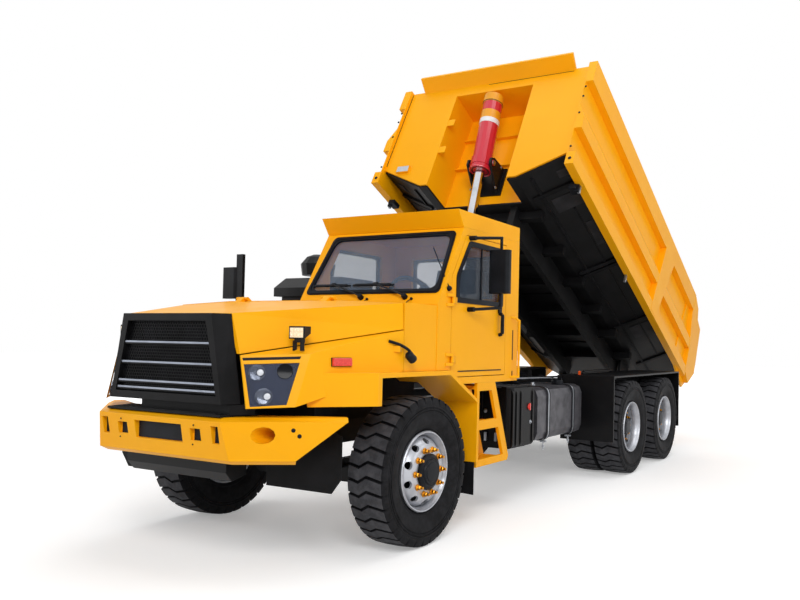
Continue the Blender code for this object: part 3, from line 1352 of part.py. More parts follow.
def wheel_body(parts, treads):
    """A wheel from its turned parts, with a lugged tread between each part and the next."""
    points = []
    faces = []

    def ring(along, radius, steps, shares):
        first = len(points)
        for i in range(steps):
            for share, r in zip(shares, radius):
                angle = 2 * math.pi * (i + share - LUG_SHARES[0]) / steps - math.pi / 2
                points.append((along, r * math.cos(angle), r * math.sin(angle)))
        return list(range(first, len(points)))

    last = None
    for number, profile in enumerate(parts):
        for along, radius in profile:
            if radius <= 0:
                points.append((along, 0, 0))
                now = [len(points) - 1] * LUGS
            else:
                now = ring(along, [radius], LUGS, [0.0])
            if last:
                for i in range(LUGS):
                    j = (i + 1) % LUGS
                    face = []
                    for index in (last[i], last[j], now[j], now[i]):
                        if index not in face:
                            face.append(index)
                    faces.append(face)
            last = now
        if number == len(treads):
            break
        middle = treads[number]
        heights = [TYRE_R, TYRE_R, TYRE_R - LUG_DEEP, TYRE_R - LUG_DEEP]
        near = ring(middle - TREAD_HALF, heights, LUGS, LUG_SHARES)
        far = ring(middle + TREAD_HALF, heights, LUGS, LUG_SHARES)
        count = len(near)
        for i in range(count):
            j = (i + 1) % count
            faces.append([near[i], near[j], far[j], far[i]])
        after = ring(middle + SHOULDER_HALF, [SHOULDER_R], LUGS, [0.0])
        for inner, outer in ((last, near), (after, far)):
            for i in range(LUGS):
                j = (i + 1) % LUGS
                k = 4 * i
                faces.append([inner[i], outer[k - 1], outer[k]])
                faces.append([inner[i], outer[k], outer[k + 1]])
                faces.append([inner[i], outer[k + 1], outer[k + 2]])
                faces.append([inner[i], outer[k + 2], inner[j]])
                faces.append([inner[j], outer[k + 2], outer[k + 3]])
        last = after
    return solid(points, faces)


front_back = [
    (-HUB_BACK, 0),
    (-HUB_BACK, DISC_IN),
    (DISC_FACE, DISC_IN),
    (DISC_FACE, RIM_IN_R - RIM_CONE),
    (-RIM_HALF, RIM_IN_R),
]
front_face = [
    (RIM_HALF - RIM_STEP, RIM_IN_R),
    (DISH_OUT, RIM_IN_R - RIM_STEP),
    (HUB_FACE, HUB_MID_R),
    (HUB_FACE, HUB_R),
    (HUB_TIP - HUB_TIP_STEP, HUB_CAP_R + RIM_STEP),
    (HUB_TIP, HUB_CAP_R),
    (HUB_TIP, 0),
]
dual_back = [
    (-HUB_BACK, 0),
    (-HUB_BACK, DUAL_BACK_R),
    (-DUAL_BACK_FACE, DUAL_BACK_R),
    (-DUAL_BACK_FACE, RIM_IN_R - RIM_STEP),
    (-RIM_HALF, RIM_IN_R),
]
dual_disc = DUAL_PITCH / 2 + RIM_STEP
dual_face = [
    (DUAL_PITCH + RIM_HALF - RIM_STEP, RIM_IN_R),
    (dual_disc + DUAL_DISH, RIM_IN_R - RIM_STEP),
    (dual_disc, HUB_MID_R),
    (dual_disc, HUB_R),
    (dual_disc + DUAL_HUB_TIP, HUB_R - RIM_STEP),
    (dual_disc + DUAL_HUB_TIP, 0),
]
outer_side = tyre_side(0, 1)[1::-1]
front_parts = [front_back + tyre_side(0, -1), outer_side + front_face]
dual_parts = [
    dual_back + tyre_side(0, -1),
    outer_side + tyre_side(DUAL_PITCH, -1),
    tyre_side(DUAL_PITCH, 1)[1::-1] + dual_face,
]
wheel_rows = (
    # name, half-track, station along the truck, turned parts, middles of the treads
    ("front_wheel_", TRACK_FRONT, 0, front_parts, [0]),
    ("rear_wheels_1_", DUAL_IN, AXLE_2, dual_parts, [0, DUAL_PITCH]),
    ("rear_wheels_2_", DUAL_IN, AXLE_3, dual_parts, [0, DUAL_PITCH]),
)
for name, half_track, y, parts, treads_at in wheel_rows:
    body = wheel_body(parts, treads_at)
    for side, word in ((1, "left"), (-1, "right")):
        spot = (side * half_track, y, TYRE_R)
        placed = shifted(body if side > 0 else flipped(body), spot)
        node(name + word, "rubber", placed, origin=spot)

# The bed
BED_ORIGIN = (0, HINGE_Y, HINGE_Z)
FLOOR_REAR_SHORT = 0.18
FLOOR_FOLD = 0.005
SILL_Z = 1.036
SILL_AFTER = 0.05
SILL_END = 0.09
MEMBER_FIRST = 0.64
MEMBER_PITCH = 0.70
MEMBER_COUNT = 6
MEMBER_HALF = 0.04
MEMBER_H = 0.10
MEMBER_REACH = 0.08
EAR_X = (0.46, 0.50)
EAR_HALF = 0.20
EAR_LOW = 0.10
EAR_SHARES = ((0.0, 1.0), (0.25, 0.102), (0.375, 0.0), (0.625, 0.0), (0.75, 0.102), (1.0, 1.0))


def bed_node(name, colour, body, adds=(), cuts=()):
    return node(name, colour, raised(body), [raised(b) for b in adds], [raised(b) for b in cuts], BED_ORIGIN)


floor_plate = plate("Y", BED_FRONT + FLOOR_T, BED_REAR - FLOOR_REAR_SHORT, [
    (-BED_IN, CHAMFER_Z),
    (-FLOOR_HALF, FLOOR_Z),
    (FLOOR_HALF, FLOOR_Z),
    (BED_IN, CHAMFER_Z),
    (BED_IN, CHAMFER_Z + FLOOR_T),
    (FLOOR_HALF - FLOOR_FOLD, FLOOR_Z + FLOOR_T),
    (-FLOOR_HALF + FLOOR_FOLD, FLOOR_Z + FLOOR_T),
    (-BED_IN, CHAMFER_Z + FLOOR_T),
])
ear_outline = spread(EAR_SHARES, (HINGE_Y - EAR_HALF, HINGE_Z - EAR_LOW), (HINGE_Y + EAR_HALF, FLOOR_Z + EMBED))
member_out = FLOOR_HALF + MEMBER_REACH
member_z = (FLOOR_Z - MEMBER_H, FLOOR_Z + FLOOR_T / 2)
floor_adds = []
for side in (1, -1):
    floor_adds.append(box(
        pair(side, RAIL_IN, RAIL_OUT),
        (RECESS_Y + SILL_AFTER, HINGE_Y - SILL_END),
        (SILL_Z, FLOOR_Z + EMBED),
    ))
    ear = plate("X", EAR_X[0], EAR_X[1], ear_outline, [circle(HINGE_Y, HINGE_Z, HINGE_R + PIN_GAP)])
    floor_adds.append(ear if side > 0 else flipped(ear))
for i in range(MEMBER_COUNT):
    y = BED_FRONT + MEMBER_FIRST + i * MEMBER_PITCH
    floor_adds.append(box((-member_out, member_out), about(y, MEMBER_HALF), member_z))
bed_node("bed_floor", "black", floor_plate, floor_adds, [
    box((-RECESS_HALF, RECESS_HALF), (BED_FRONT - OVERRUN, RECESS_Y - FLOOR_T / 2), about(FLOOR_Z, OVERRUN)),
])

TAIL_PIN_AHEAD = 0.13
TAIL_PIN_DROP = 0.22
TAIL_PIN_R = 0.022
TAIL_STEPS = 16
SIDE_AHEAD = 0.05
SIDE_SHORT = 0.50
TOP_RAIL_H = 0.28
TOP_RAIL_UP = 0.01
LOW_RAIL_H = 0.16
TAIL_SLAB_T = 0.030
POST_PROUD = 0.004
POST_INSET = 0.03
POST_SLOPE_RISE = 0.02
TAIL_FOOT = 0.13
PILLAR_INSET = 0.012
# Heights of the middle rail's low edge, its high edge and its slope's top, between the other two
MID_RAIL_SHARES = (0.325, 0.486, 0.670)
POST_Y_SHARES = (0.5435, 0.6649)
POST_SHARES = ((0.0, 0.0), (0.358, 0.0), (1.0, 1.0), (0.313, 1.0))
TAIL_SHARES = (
    (0.0, 0.109), (0.091, 0.088), (0.646, 0.0), (1.0, 0.231), (1.0, 0.885), (0.566, 0.998), (0.313, 0.987),
)
PILLAR_SHARES = (
    (0.105, 0.069), (0.509, 0.0), (0.996, 0.207), (1.0, 0.760), (0.614, 0.808),
    (0.526, 0.925), (0.158, 1.0), (0.0, 0.753), (0.175, 0.373),
)
TAIL_LONG = 0.99
PILLAR_LONG = 0.57
PILLAR_FOOT = 0.10
TAIL_AXIS = (0, BED_REAR - TAIL_PIN_AHEAD, BED_TOP - TAIL_PIN_DROP)
WALL_IN = BED_HALF - BED_PLATE
POST_OUT = BED_RAIL_OUT + POST_PROUD
low_rail_top = LOW_RAIL_Z + LOW_RAIL_H
top_rail_low = BED_TOP - TOP_RAIL_H
mid_low, mid_high, mid_slope = [
    low_rail_top + share * (top_rail_low - low_rail_top) for share in MID_RAIL_SHARES
]
side_section = [
    (WALL_IN, LOW_RAIL_Z),
    (BED_RAIL_OUT, LOW_RAIL_Z),
    (BED_RAIL_OUT, low_rail_top),
    (BED_HALF, low_rail_top),
    (BED_HALF, mid_low),
    (BED_RAIL_OUT, mid_low),
    (BED_RAIL_OUT, mid_high),
    (BED_HALF, mid_slope),
    (BED_HALF, top_rail_low),
    (BED_RAIL_OUT, top_rail_low),
    (BED_RAIL_OUT, BED_TOP + TOP_RAIL_UP),
    (WALL_IN, BED_TOP + TOP_RAIL_UP),
]
post_y = [BED_FRONT + share * (BED_REAR - BED_FRONT) for share in POST_Y_SHARES]
post_z = (LOW_RAIL_Z + POST_INSET, top_rail_low + POST_SLOPE_RISE)
post_outline = spread(POST_SHARES, (post_y[0], post_z[0]), (post_y[1], post_z[1]))
tail_outline = spread(TAIL_SHARES, (BED_REAR - TAIL_LONG, LOW_RAIL_Z - TAIL_FOOT), (BED_REAR, BED_TOP))
pillar_rear = BED_REAR - PILLAR_INSET
pillar_outline = spread(PILLAR_SHARES, (pillar_rear - PILLAR_LONG, LOW_RAIL_Z - TAIL_FOOT + PILLAR_FOOT),
                        (pillar_rear, BED_TOP - PILLAR_INSET))
for side, word in ((1, "left"), (-1, "right")):
    bodies = [
        plate("Y", BED_FRONT - SIDE_AHEAD, BED_REAR - SIDE_SHORT, side_section),
        plate("X", WALL_IN + GAP, WALL_IN + TAIL_SLAB_T, tail_outline,
              [circle(TAIL_AXIS[1], TAIL_AXIS[2], TAIL_PIN_R + PIN_GAP, TAIL_STEPS)]),
        plate("X", BED_HALF - EMBED, POST_OUT, post_outline),
        plate("X", WALL_IN + TAIL_SLAB_T - EMBED, POST_OUT, pillar_outline),
    ]
    if side < 0:
        bodies = [flipped(b) for b in bodies]
    bed_node("bed_side_" + word, "yellow", bodies[0], bodies[1:])

# The bed's front: folded panels either side of the hoist's recess, with a header over it
FRONT_T = 0.020
STEP_BACK = 0.001
LIP_IN = 0.19
LIP_AHEAD = 0.16
LIP_BEHIND = 0.05
LIP_Z = (0.03, 0.10)
LIP_SHARES = ((0.0, 0.769), (0.857, 0.0), (1.0, 0.077), (0.952, 0.154), (0.048, 1.0))
RIB_DEEP = 0.05
RIB_T = 0.014
RIB_SHARES = (0.736, 0.412)
TAB_SHARES = (0.691, 0.390)
TAB_SIZE = 0.09
TAB_T = 0.012
LABEL_INSET = (0.38, 0.21)
LABEL_DROP = 0.05
LABEL_RISE = 0.04
LABEL_BOX_T = 0.03
LOW_CUT = 0.20
LOW_CUT_RISE = 0.06
front_wall = plate("Z", FLOOR_Z - FLOOR_T, HEADER_Z + EMBED, [
    (-BED_IN, BED_FRONT),
    (-RECESS_HALF, BED_FRONT),
    (-RECESS_HALF, RECESS_Y),
    (RECESS_HALF, RECESS_Y),
    (RECESS_HALF, BED_FRONT),
    (BED_IN, BED_FRONT),
    (BED_IN, BED_FRONT + FRONT_T),
    (RECESS_HALF + FRONT_T, BED_FRONT + FRONT_T),
    (RECESS_HALF + FRONT_T, RECESS_Y + STEP_BACK),
    (BED_IN, RECESS_Y + STEP_BACK),
    (BED_IN, RECESS_Y + FRONT_T),
    (-BED_IN, RECESS_Y + FRONT_T),
    (-BED_IN, RECESS_Y + STEP_BACK),
    (-RECESS_HALF - FRONT_T, RECESS_Y + STEP_BACK),
    (-RECESS_HALF - FRONT_T, BED_FRONT + FRONT_T),
    (-BED_IN, BED_FRONT + FRONT_T),
])
header = plate("X", -BED_IN + STEP_BACK, BED_IN - STEP_BACK, [
    (BED_FRONT + STEP_BACK, HEADER_Z),
    (RECESS_Y + FRONT_T - STEP_BACK, HEADER_Z),
    (RECESS_Y + FRONT_T - STEP_BACK, BED_TOP),
    (RECESS_Y, BED_TOP),
    (RECESS_Y, HEADER_Z + FRONT_T),
    (BED_FRONT + FRONT_T, HEADER_Z + FRONT_T),
    (BED_FRONT + FRONT_T, BED_TOP),
    (BED_FRONT + STEP_BACK, BED_TOP),
])
low_cut = plate("Y", BED_FRONT - OVERRUN, RECESS_Y + OVERRUN, [
    (-BED_HALF - OVERRUN, FLOOR_Z - LOW_CUT),
    (BED_HALF + OVERRUN, FLOOR_Z - LOW_CUT),
    (BED_HALF + OVERRUN, CHAMFER_Z + LOW_CUT_RISE),
    (BED_IN, CHAMFER_Z + FLOOR_T + PIN_GAP),
    (FLOOR_HALF - FLOOR_FOLD, FLOOR_Z + FLOOR_T + PIN_GAP),
    (-FLOOR_HALF + FLOOR_FOLD, FLOOR_Z + FLOOR_T + PIN_GAP),
    (-BED_IN, CHAMFER_Z + FLOOR_T + PIN_GAP),
    (-BED_HALF - OVERRUN, CHAMFER_Z + LOW_CUT_RISE),
])
lip = plate("X", -BED_HALF + LIP_IN, BED_HALF - LIP_IN, spread(
    LIP_SHARES, (BED_FRONT - LIP_AHEAD, BED_TOP - LIP_Z[0]), (BED_FRONT + LIP_BEHIND, BED_TOP + LIP_Z[1])))
front_adds = [header, lip]
recess_tall = HEADER_Z - FLOOR_Z
rib_half = RECESS_HALF + EMBED
tab_y = BED_FRONT + EMBED
for share in RIB_SHARES:
    z = FLOOR_Z + share * recess_tall
    front_adds.append(box((-rib_half, rib_half), (RECESS_Y - RIB_DEEP, RECESS_Y + EMBED), about(z, RIB_T / 2)))
for share in TAB_SHARES:
    z = FLOOR_Z + share * recess_tall
    front_adds.append(box((-rib_half, -RECESS_HALF + TAB_SIZE), (tab_y, tab_y + TAB_T), about(z, TAB_SIZE / 2)))
front_adds.append(box(
    (-BED_HALF + LABEL_INSET[1], -BED_HALF + LABEL_INSET[0]),
    (BED_FRONT - LABEL_BOX_T, BED_FRONT + EMBED),
    (CHAMFER_Z - LABEL_DROP, CHAMFER_Z + LABEL_RISE),
))
bed_node("bed_front", "yellow", front_wall, front_adds, [low_cut])

# Tailgate, hung from the top of the side walls
GATE_T = 0.03
GATE_LIFT = 0.03
GATE_TAPER = 0.01
tailgate = plate("X", -BED_IN + MOVE_GAP, BED_IN - MOVE_GAP, [
    (TAIL_AXIS[1] - GATE_T, CHAMFER_Z + GATE_LIFT),
    (TAIL_AXIS[1] + GATE_T - GATE_TAPER, CHAMFER_Z + GATE_LIFT),
    (TAIL_AXIS[1] + GATE_T, TAIL_AXIS[2]),
    (TAIL_AXIS[1] + GATE_T - GATE_TAPER, TAIL_AXIS[2] + GATE_T),
    (TAIL_AXIS[1] - GATE_T + GATE_TAPER, TAIL_AXIS[2] + GATE_T),
    (TAIL_AXIS[1] - GATE_T, TAIL_AXIS[2]),
])
pin_x = BED_HALF + TAIL_SLAB_T
tail_pin = rod((-pin_x, *TAIL_AXIS[1:]), (pin_x, *TAIL_AXIS[1:]), TAIL_PIN_R, TAIL_STEPS)
node("tailgate", "yellow", raised(tailgate), adds=[raised(tail_pin)], origin=lift(TAIL_AXIS))

# The hoist, from its trunnion on the bed down to its eye on the frame
TRUNNION_PIN_R = 0.035
BRACKET_IN = 0.135
BRACKET_T = 0.025
BARREL_R = 0.115
BARREL_DOWN = 0.09
BARREL_BELOW_HEADER = 0.05
CLOSED = 0.873
STAGE_1_R = 0.0585
STAGE_2_R = 0.0495
ROD_R = 0.0405
STAGE_LAG = 0.05
STAGE_END = 0.03
STAGE_1_DOWN = 0.60
STAGE_2_DOWN = 0.68
ROD_LAG = 0.15
BARREL_WALL = 0.03
EYE_RING_R = 0.075
HOIST_STEPS = 16
# Each stage's share of the whole stroke
STAGE_1_SHARE = 0.23
STAGE_2_SHARE = 0.38
ROD_SHARE = 1 - STAGE_1_SHARE - STAGE_2_SHARE
BARREL_UP = HEADER_Z - BARREL_BELOW_HEADER - TRUNNION_Z
top = lift((0, TRUNNION_Y, TRUNNION_Z))
eye = Vector((0, EYE_Y, EYE_Z))
down = (eye - top).normalized()
STROKE = (eye - top).length - CLOSED
out_1 = STROKE * STAGE_1_SHARE
out_2 = out_1 + STROKE * STAGE_2_SHARE


def hoist(start, end):
    """A span of the hoist's axis, in metres below the trunnion."""
    return top + down * start, top + down * end


def along_hoist(profile):
    """A body turned round the hoist's axis, from (below the trunnion, radius) points."""
    points, faces = turned(profile, HOIST_STEPS)
    turn = Vector((1, 0, 0)).rotation_difference(down).to_matrix()
    return [turn @ p + top for p in points], faces


def tube(start, end, outer, inner):
    """A tube along the hoist's axis, open at its low end and closed at its top."""
    return along_hoist([
        (start, 0),
        (start, outer),
        (end, outer),
        (end, inner),
        (start + STAGE_END, inner),
        (start + STAGE_END, 0),
    ])


BASE_HALF = 0.20
BASE_T = 0.02
BASE_UP = 0.11
BASE_DOWN = 0.27
CHEEK_REACH = 0.06
CHEEK_UP = 0.10
CHEEK_DOWN = 0.26
CHEEK_OUTLINE_SHARES = ((1.0, 0.0), (1.0, 1.0), (0.194, 0.917), (0.0, 0.806), (0.0, 0.611))
cheek_outline = spread(CHEEK_OUTLINE_SHARES, (TRUNNION_Y - CHEEK_REACH, TRUNNION_Z - CHEEK_DOWN),
                       (RECESS_Y - BASE_T / 2, TRUNNION_Z + CHEEK_UP))
pin_hole = circle(TRUNNION_Y, TRUNNION_Z, TRUNNION_PIN_R + PIN_GAP)
base_z = (TRUNNION_Z - BASE_DOWN, TRUNNION_Z + BASE_UP)
bracket_base = box((-BASE_HALF, BASE_HALF), (RECESS_Y - BASE_T, RECESS_Y - GAP), base_z)
cheeks = [plate("X", BRACKET_IN, BRACKET_IN + BRACKET_T, cheek_outline, [pin_hole])]
cheeks.append(flipped(cheeks[0]))
bed_node("trunnion_bracket", "black", bracket_base, cheeks)

# The barrel: a domed cap with its band, a plain tube, and the collar that carries the trunnion pins
CAP_CHAMFER = 0.012
CAP_LONG = 0.10
BAND_PROUD = 0.003
COLLAR_UP = 0.055
COLLAR_PROUD = 0.013
GROOVE_HALF = 0.010
GROOVE_DEEP = 0.008
collar_r = BARREL_R + COLLAR_PROUD
barrel_profile = [
    (-BARREL_UP, 0),
    (-BARREL_UP, BARREL_R - CAP_CHAMFER),
    (-BARREL_UP + CAP_CHAMFER, BARREL_R + BAND_PROUD),
    (-BARREL_UP + CAP_LONG, BARREL_R + BAND_PROUD),
    (-BARREL_UP + CAP_LONG, BARREL_R),
    (-COLLAR_UP, BARREL_R),
    (-COLLAR_UP, collar_r),
    (BARREL_DOWN / 2 - GROOVE_HALF, collar_r),
    (BARREL_DOWN / 2 - GROOVE_HALF, collar_r - GROOVE_DEEP),
    (BARREL_DOWN / 2 + GROOVE_HALF, collar_r - GROOVE_DEEP),
    (BARREL_DOWN / 2 + GROOVE_HALF, collar_r),
    (BARREL_DOWN, collar_r),
    (BARREL_DOWN, STAGE_1_R + PIN_GAP),
    (-BARREL_UP + BARREL_WALL, STAGE_1_R + PIN_GAP),
    (-BARREL_UP + BARREL_WALL, 0),
]
pin_ends = [
    (side * (BARREL_R - STAGE_END / 2), side * (BRACKET_IN + BRACKET_T + EMBED)) for side in (1, -1)
]
trunnion_pins = [rod(top + Vector((start, 0, 0)), top + Vector((end, 0, 0)), TRUNNION_PIN_R, PIN_STEPS)
                 for start, end in pin_ends]
node("hoist_barrel", "red", along_hoist(barrel_profile), adds=trunnion_pins, origin=top)
stage_1 = tube(-BARREL_UP + STAGE_LAG + out_1, STAGE_1_DOWN + out_1, STAGE_1_R, STAGE_2_R + PIN_GAP)
stage_2 = tube(-BARREL_UP + 2 * STAGE_LAG + out_2, STAGE_2_DOWN + out_2, STAGE_2_R, ROD_R + PIN_GAP)
node("hoist_stage_1", "steel", stage_1, origin=top)
node("hoist_stage_2", "steel", stage_2, origin=top)
EYE_HALF = EYE_CHEEK_IN - PIN_GAP
eye_ring = turned([
    (-EYE_HALF, 0),
    (-EYE_HALF, EYE_RING_R),
    (EYE_HALF, EYE_RING_R),
    (EYE_HALF, 0),
], HOIST_STEPS, tuple(eye))
last_rod = rod(*hoist(-BARREL_UP + ROD_LAG + STROKE, CLOSED + STROKE), ROD_R, HOIST_STEPS)
node("hoist_rod", "steel", last_rod, adds=[eye_ring], origin=top)
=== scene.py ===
"""Looks of the mining dump truck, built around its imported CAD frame."""

import json
import math

import bmesh
import bpy
from mathutils import Matrix, Vector


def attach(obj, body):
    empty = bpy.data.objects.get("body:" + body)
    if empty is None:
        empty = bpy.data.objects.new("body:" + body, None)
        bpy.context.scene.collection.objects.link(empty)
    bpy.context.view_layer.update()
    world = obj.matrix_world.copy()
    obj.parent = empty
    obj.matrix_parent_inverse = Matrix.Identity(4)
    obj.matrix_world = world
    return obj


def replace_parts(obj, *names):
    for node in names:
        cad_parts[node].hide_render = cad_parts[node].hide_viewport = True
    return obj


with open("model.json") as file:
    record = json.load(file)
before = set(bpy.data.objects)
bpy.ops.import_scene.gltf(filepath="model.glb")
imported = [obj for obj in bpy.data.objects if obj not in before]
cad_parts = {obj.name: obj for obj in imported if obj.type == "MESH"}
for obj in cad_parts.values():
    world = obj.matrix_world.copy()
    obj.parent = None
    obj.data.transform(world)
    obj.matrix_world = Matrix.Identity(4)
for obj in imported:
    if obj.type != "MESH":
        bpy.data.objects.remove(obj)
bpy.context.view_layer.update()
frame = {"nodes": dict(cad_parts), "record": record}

# Places are in metres from the front axle: X to the truck's left, the front towards minus Y, Z up.
JOINTS = {joint["name"]: joint for joint in frame["record"]["behaviour"]["joints"]}
MM = 0.001
AXLE_Y = JOINTS["roll_front_left"]["pos_m"][1]
WHEEL_R = JOINTS["roll_front_left"]["pos_m"][2]
BED_PIVOT = Vector(JOINTS["bed_tip"]["pos_m"])
BED_RAISED = math.radians(-JOINTS["bed_tip"]["range_deg"][0])
TIP = Matrix.Rotation(-BED_RAISED, 4, "X")


def at(x, y, z):
    """A place measured from the front axle, in the frame's own coordinates."""
    return Vector((x, y + AXLE_Y, z))


def lifted(x, y, z):
    """A place on the bed, measured with the bed lowered, as it is with the bed raised."""
    return TIP @ (at(x, y, z) - BED_PIVOT) + BED_PIVOT


# Shader trees
def linear(code):
    """The linear colour of an sRGB hex value."""
    parts = [int(code[i:i + 2], 16) / 255 for i in (0, 2, 4)]
    return [p / 12.92 if p <= 0.04045 else ((p + 0.055) / 1.055) ** 2.4 for p in parts] + [1.0]


def add(tree, kind, values=None, links=None, **settings):
    """A shader node with its settings, socket values and links."""
    node = tree.nodes.new("ShaderNode" + kind)
    for name, value in settings.items():
        setattr(node, name, value)
    for socket, value in (values or {}).items():
        node.inputs[socket].default_value = value
    for socket, source in (links or {}).items():
        tree.links.new(source, node.inputs[socket])
    return node


def surface(name, slot, metallic=0.0, roughness=0.5, ior=1.5, coat=0.0):
    """A new finish: its material, tree, shader and place on the truck."""
    material = bpy.data.materials.new(name)
    material.use_nodes = True
    material["slot"] = slot
    tree = material.node_tree
    shader = tree.nodes["Principled BSDF"]
    shader.inputs["Metallic"].default_value = metallic
    shader.inputs["Roughness"].default_value = roughness
    shader.inputs["IOR"].default_value = ior
    shader.inputs["Coat Weight"].default_value = coat
    return material, tree, shader, add(tree, "TexCoord").outputs["Object"]


def mottled(tree, pattern, low, high, start, end):
    """Two colours laid by a pattern: low up to its start value, high from its end value."""
    share = add(tree, "MapRange", {"From Min": start, "From Max": end}, {"Value": pattern})
    colour = add(tree, "Mix", {"A": low, "B": high}, {"Factor": share.outputs["Result"]}, data_type="RGBA")
    return colour.outputs["Result"]


def eased_edges(tree, shader, bevel_mm, relief=None, depth_mm=0.0, strength=0.3):
    """Rounds the look of folded and cut edges, with a fine relief over them where one is given."""
    normal = add(tree, "Bevel", {"Radius": bevel_mm * MM}, samples=4).outputs["Normal"]
    if relief:
        normal = add(tree, "Bump", {"Strength": strength, "Distance": depth_mm * MM},
                     {"Height": relief, "Normal": normal}).outputs["Normal"]
    tree.links.new(normal, shader.inputs["Normal"])


def sprayed_paint(name, slot, base, pale_tone_and_edge_highlight, dust, dust_share, roughness, coat, bevel_mm=6.0, ior=1.38):
    """Alkyd enamel sprayed on folded plate: a painted highlight makes the edges a shade paler,
    orange peel a few millimetres across breaks the highlight, and dry dust lies in broad patches."""
    material, tree, shader, place = surface(name, slot, roughness=roughness, ior=ior, coat=coat)
    shader.inputs["Coat Roughness"].default_value = 0.10
    rounded = add(tree, "Bevel", {"Radius": bevel_mm * MM}, samples=4)
    flat = add(tree, "NewGeometry")
    # Painted highlight: where the bevelled normal turns away from the flat face, the edge takes the paler colour.
    turned = add(tree, "VectorMath", operation="DOT_PRODUCT",
                 links={0: rounded.outputs["Normal"], 1: flat.outputs["True Normal"]})
    highlight_mask = add(tree, "MapRange", {"From Min": 0.985, "From Max": 0.80, "To Max": 0.7},
                  {"Value": turned.outputs["Value"]})
    broad = add(tree, "TexNoise", {"Scale": 1.4, "Detail": 3.0}, {"Vector": place})
    tone = mottled(tree, broad.outputs["Fac"], linear(base), linear(pale_tone_and_edge_highlight), 0.35, 2.2)
    highlighted_tone = add(tree, "Mix", {"B": linear(pale_tone_and_edge_highlight)}, {"Factor": highlight_mask.outputs["Result"], "A": tone},
                data_type="RGBA")
    film = add(tree, "TexNoise", {"Scale": 5.0, "Detail": 8.0, "Roughness": 0.7}, {"Vector": place})
    patches = add(tree, "MapRange", {"From Min": 0.45, "From Max": 0.75, "To Max": dust_share},
                  {"Value": film.outputs["Fac"]})
    dusty = add(tree, "Mix", {"B": linear(dust)}, {"Factor": patches.outputs["Result"],
                                                   "A": highlighted_tone.outputs["Result"]}, data_type="RGBA")
    tree.links.new(dusty.outputs["Result"], shader.inputs["Base Color"])
    dull = add(tree, "MapRange", {"To Min": roughness - 0.06, "To Max": roughness + 0.12},
               {"Value": film.outputs["Fac"]})
    tree.links.new(dull.outputs["Result"], shader.inputs["Roughness"])
    peel = add(tree, "TexNoise", {"Scale": 1 / (5 * MM), "Detail": 1.0}, {"Vector": place})
    eased = add(tree, "Bump", {"Strength": 0.06, "Distance": 0.2 * MM},
                {"Height": peel.outputs["Fac"], "Normal": rounded.outputs["Normal"]})
    tree.links.new(eased.outputs["Normal"], shader.inputs["Normal"])
    return material


def grained(name, slot, base, light, roughness, grain_mm, depth_mm, bevel_mm=3.0, ior=1.20):
    """Textured powder coat or moulded plastic: grains a few millimetres across break up the
    highlight, and the tone drifts a little over a hand's breadth."""
    material, tree, shader, place = surface(name, slot, roughness=roughness, ior=ior)
    broad = add(tree, "TexNoise", {"Scale": 6.0, "Detail": 5.0}, {"Vector": place})
    tree.links.new(mottled(tree, broad.outputs["Fac"], linear(base), linear(light), 0.35, 0.75),
                   shader.inputs["Base Color"])
    grain = add(tree, "TexNoise", {"Scale": 1 / (grain_mm * MM), "Detail": 2.0}, {"Vector": place})
    eased_edges(tree, shader, bevel_mm, grain.outputs["Fac"], depth_mm)
    return material


def bare_metal(name, slot, base, dark, roughness, mark_mm, metallic=1.0):
    """Plated, turned or brushed metal: hazy patches dull the shine, and fine working marks run
    over it at the size given."""
    material, tree, shader, place = surface(name, slot, metallic, roughness)
    haze = add(tree, "TexNoise", {"Scale": 9.0, "Detail": 6.0}, {"Vector": place})
    dull = add(tree, "MapRange", {"To Min": roughness * 0.8, "To Max": roughness * 1.35},
               {"Value": haze.outputs["Fac"]})
    tree.links.new(dull.outputs["Result"], shader.inputs["Roughness"])
    tree.links.new(mottled(tree, haze.outputs["Fac"], linear(base), linear(dark), 0.40, 0.80),
                   shader.inputs["Base Color"])
    marks = add(tree, "TexNoise", {"Scale": 1 / (mark_mm * MM), "Detail": 1.0}, {"Vector": place})
    eased_edges(tree, shader, 1.0, marks.outputs["Fac"], 0.05, 0.15)
    return material


def tread_rubber(name, base, dusty):
    """Carbon-black tyre rubber: dull and near black, greyer where dry dust sits in its pores."""
    material, tree, shader, place = surface(name, "rubber", roughness=0.66, ior=1.20)
    dust = add(tree, "TexNoise", {"Scale": 14.0, "Detail": 8.0, "Roughness": 0.65}, {"Vector": place})
    tree.links.new(mottled(tree, dust.outputs["Fac"], linear(base), linear(dusty), 0.38, 0.85),
                   shader.inputs["Base Color"])
    pores = add(tree, "TexNoise", {"Scale": 1 / (3 * MM), "Detail": 2.0}, {"Vector": place})
    eased_edges(tree, shader, 3.0, pores.outputs["Fac"], 0.3)
    return material


def woven_cloth():
    """Flat-woven seat cloth: a thread every 8 mm, coarser than real ones so that they show."""
    material, tree, shader, place = surface("woven_seat_cloth", "fabric", roughness=0.88)
    threads = [
        add(tree, "TexWave", {"Scale": 1 / (8 * MM) / math.pi, "Distortion": 0.4}, {"Vector": place},
            bands_direction=direction) for direction in ("X", "Z")
    ]
    weave = add(tree, "Math", operation="MULTIPLY",
                links={0: threads[0].outputs["Fac"], 1: threads[1].outputs["Fac"]})
    tree.links.new(mottled(tree, weave.outputs["Value"], linear("1A1C21"), linear("262930"), 0.0, 0.8),
                   shader.inputs["Base Color"])
    eased_edges(tree, shader, 12.0, weave.outputs["Value"], 0.8)
    return material


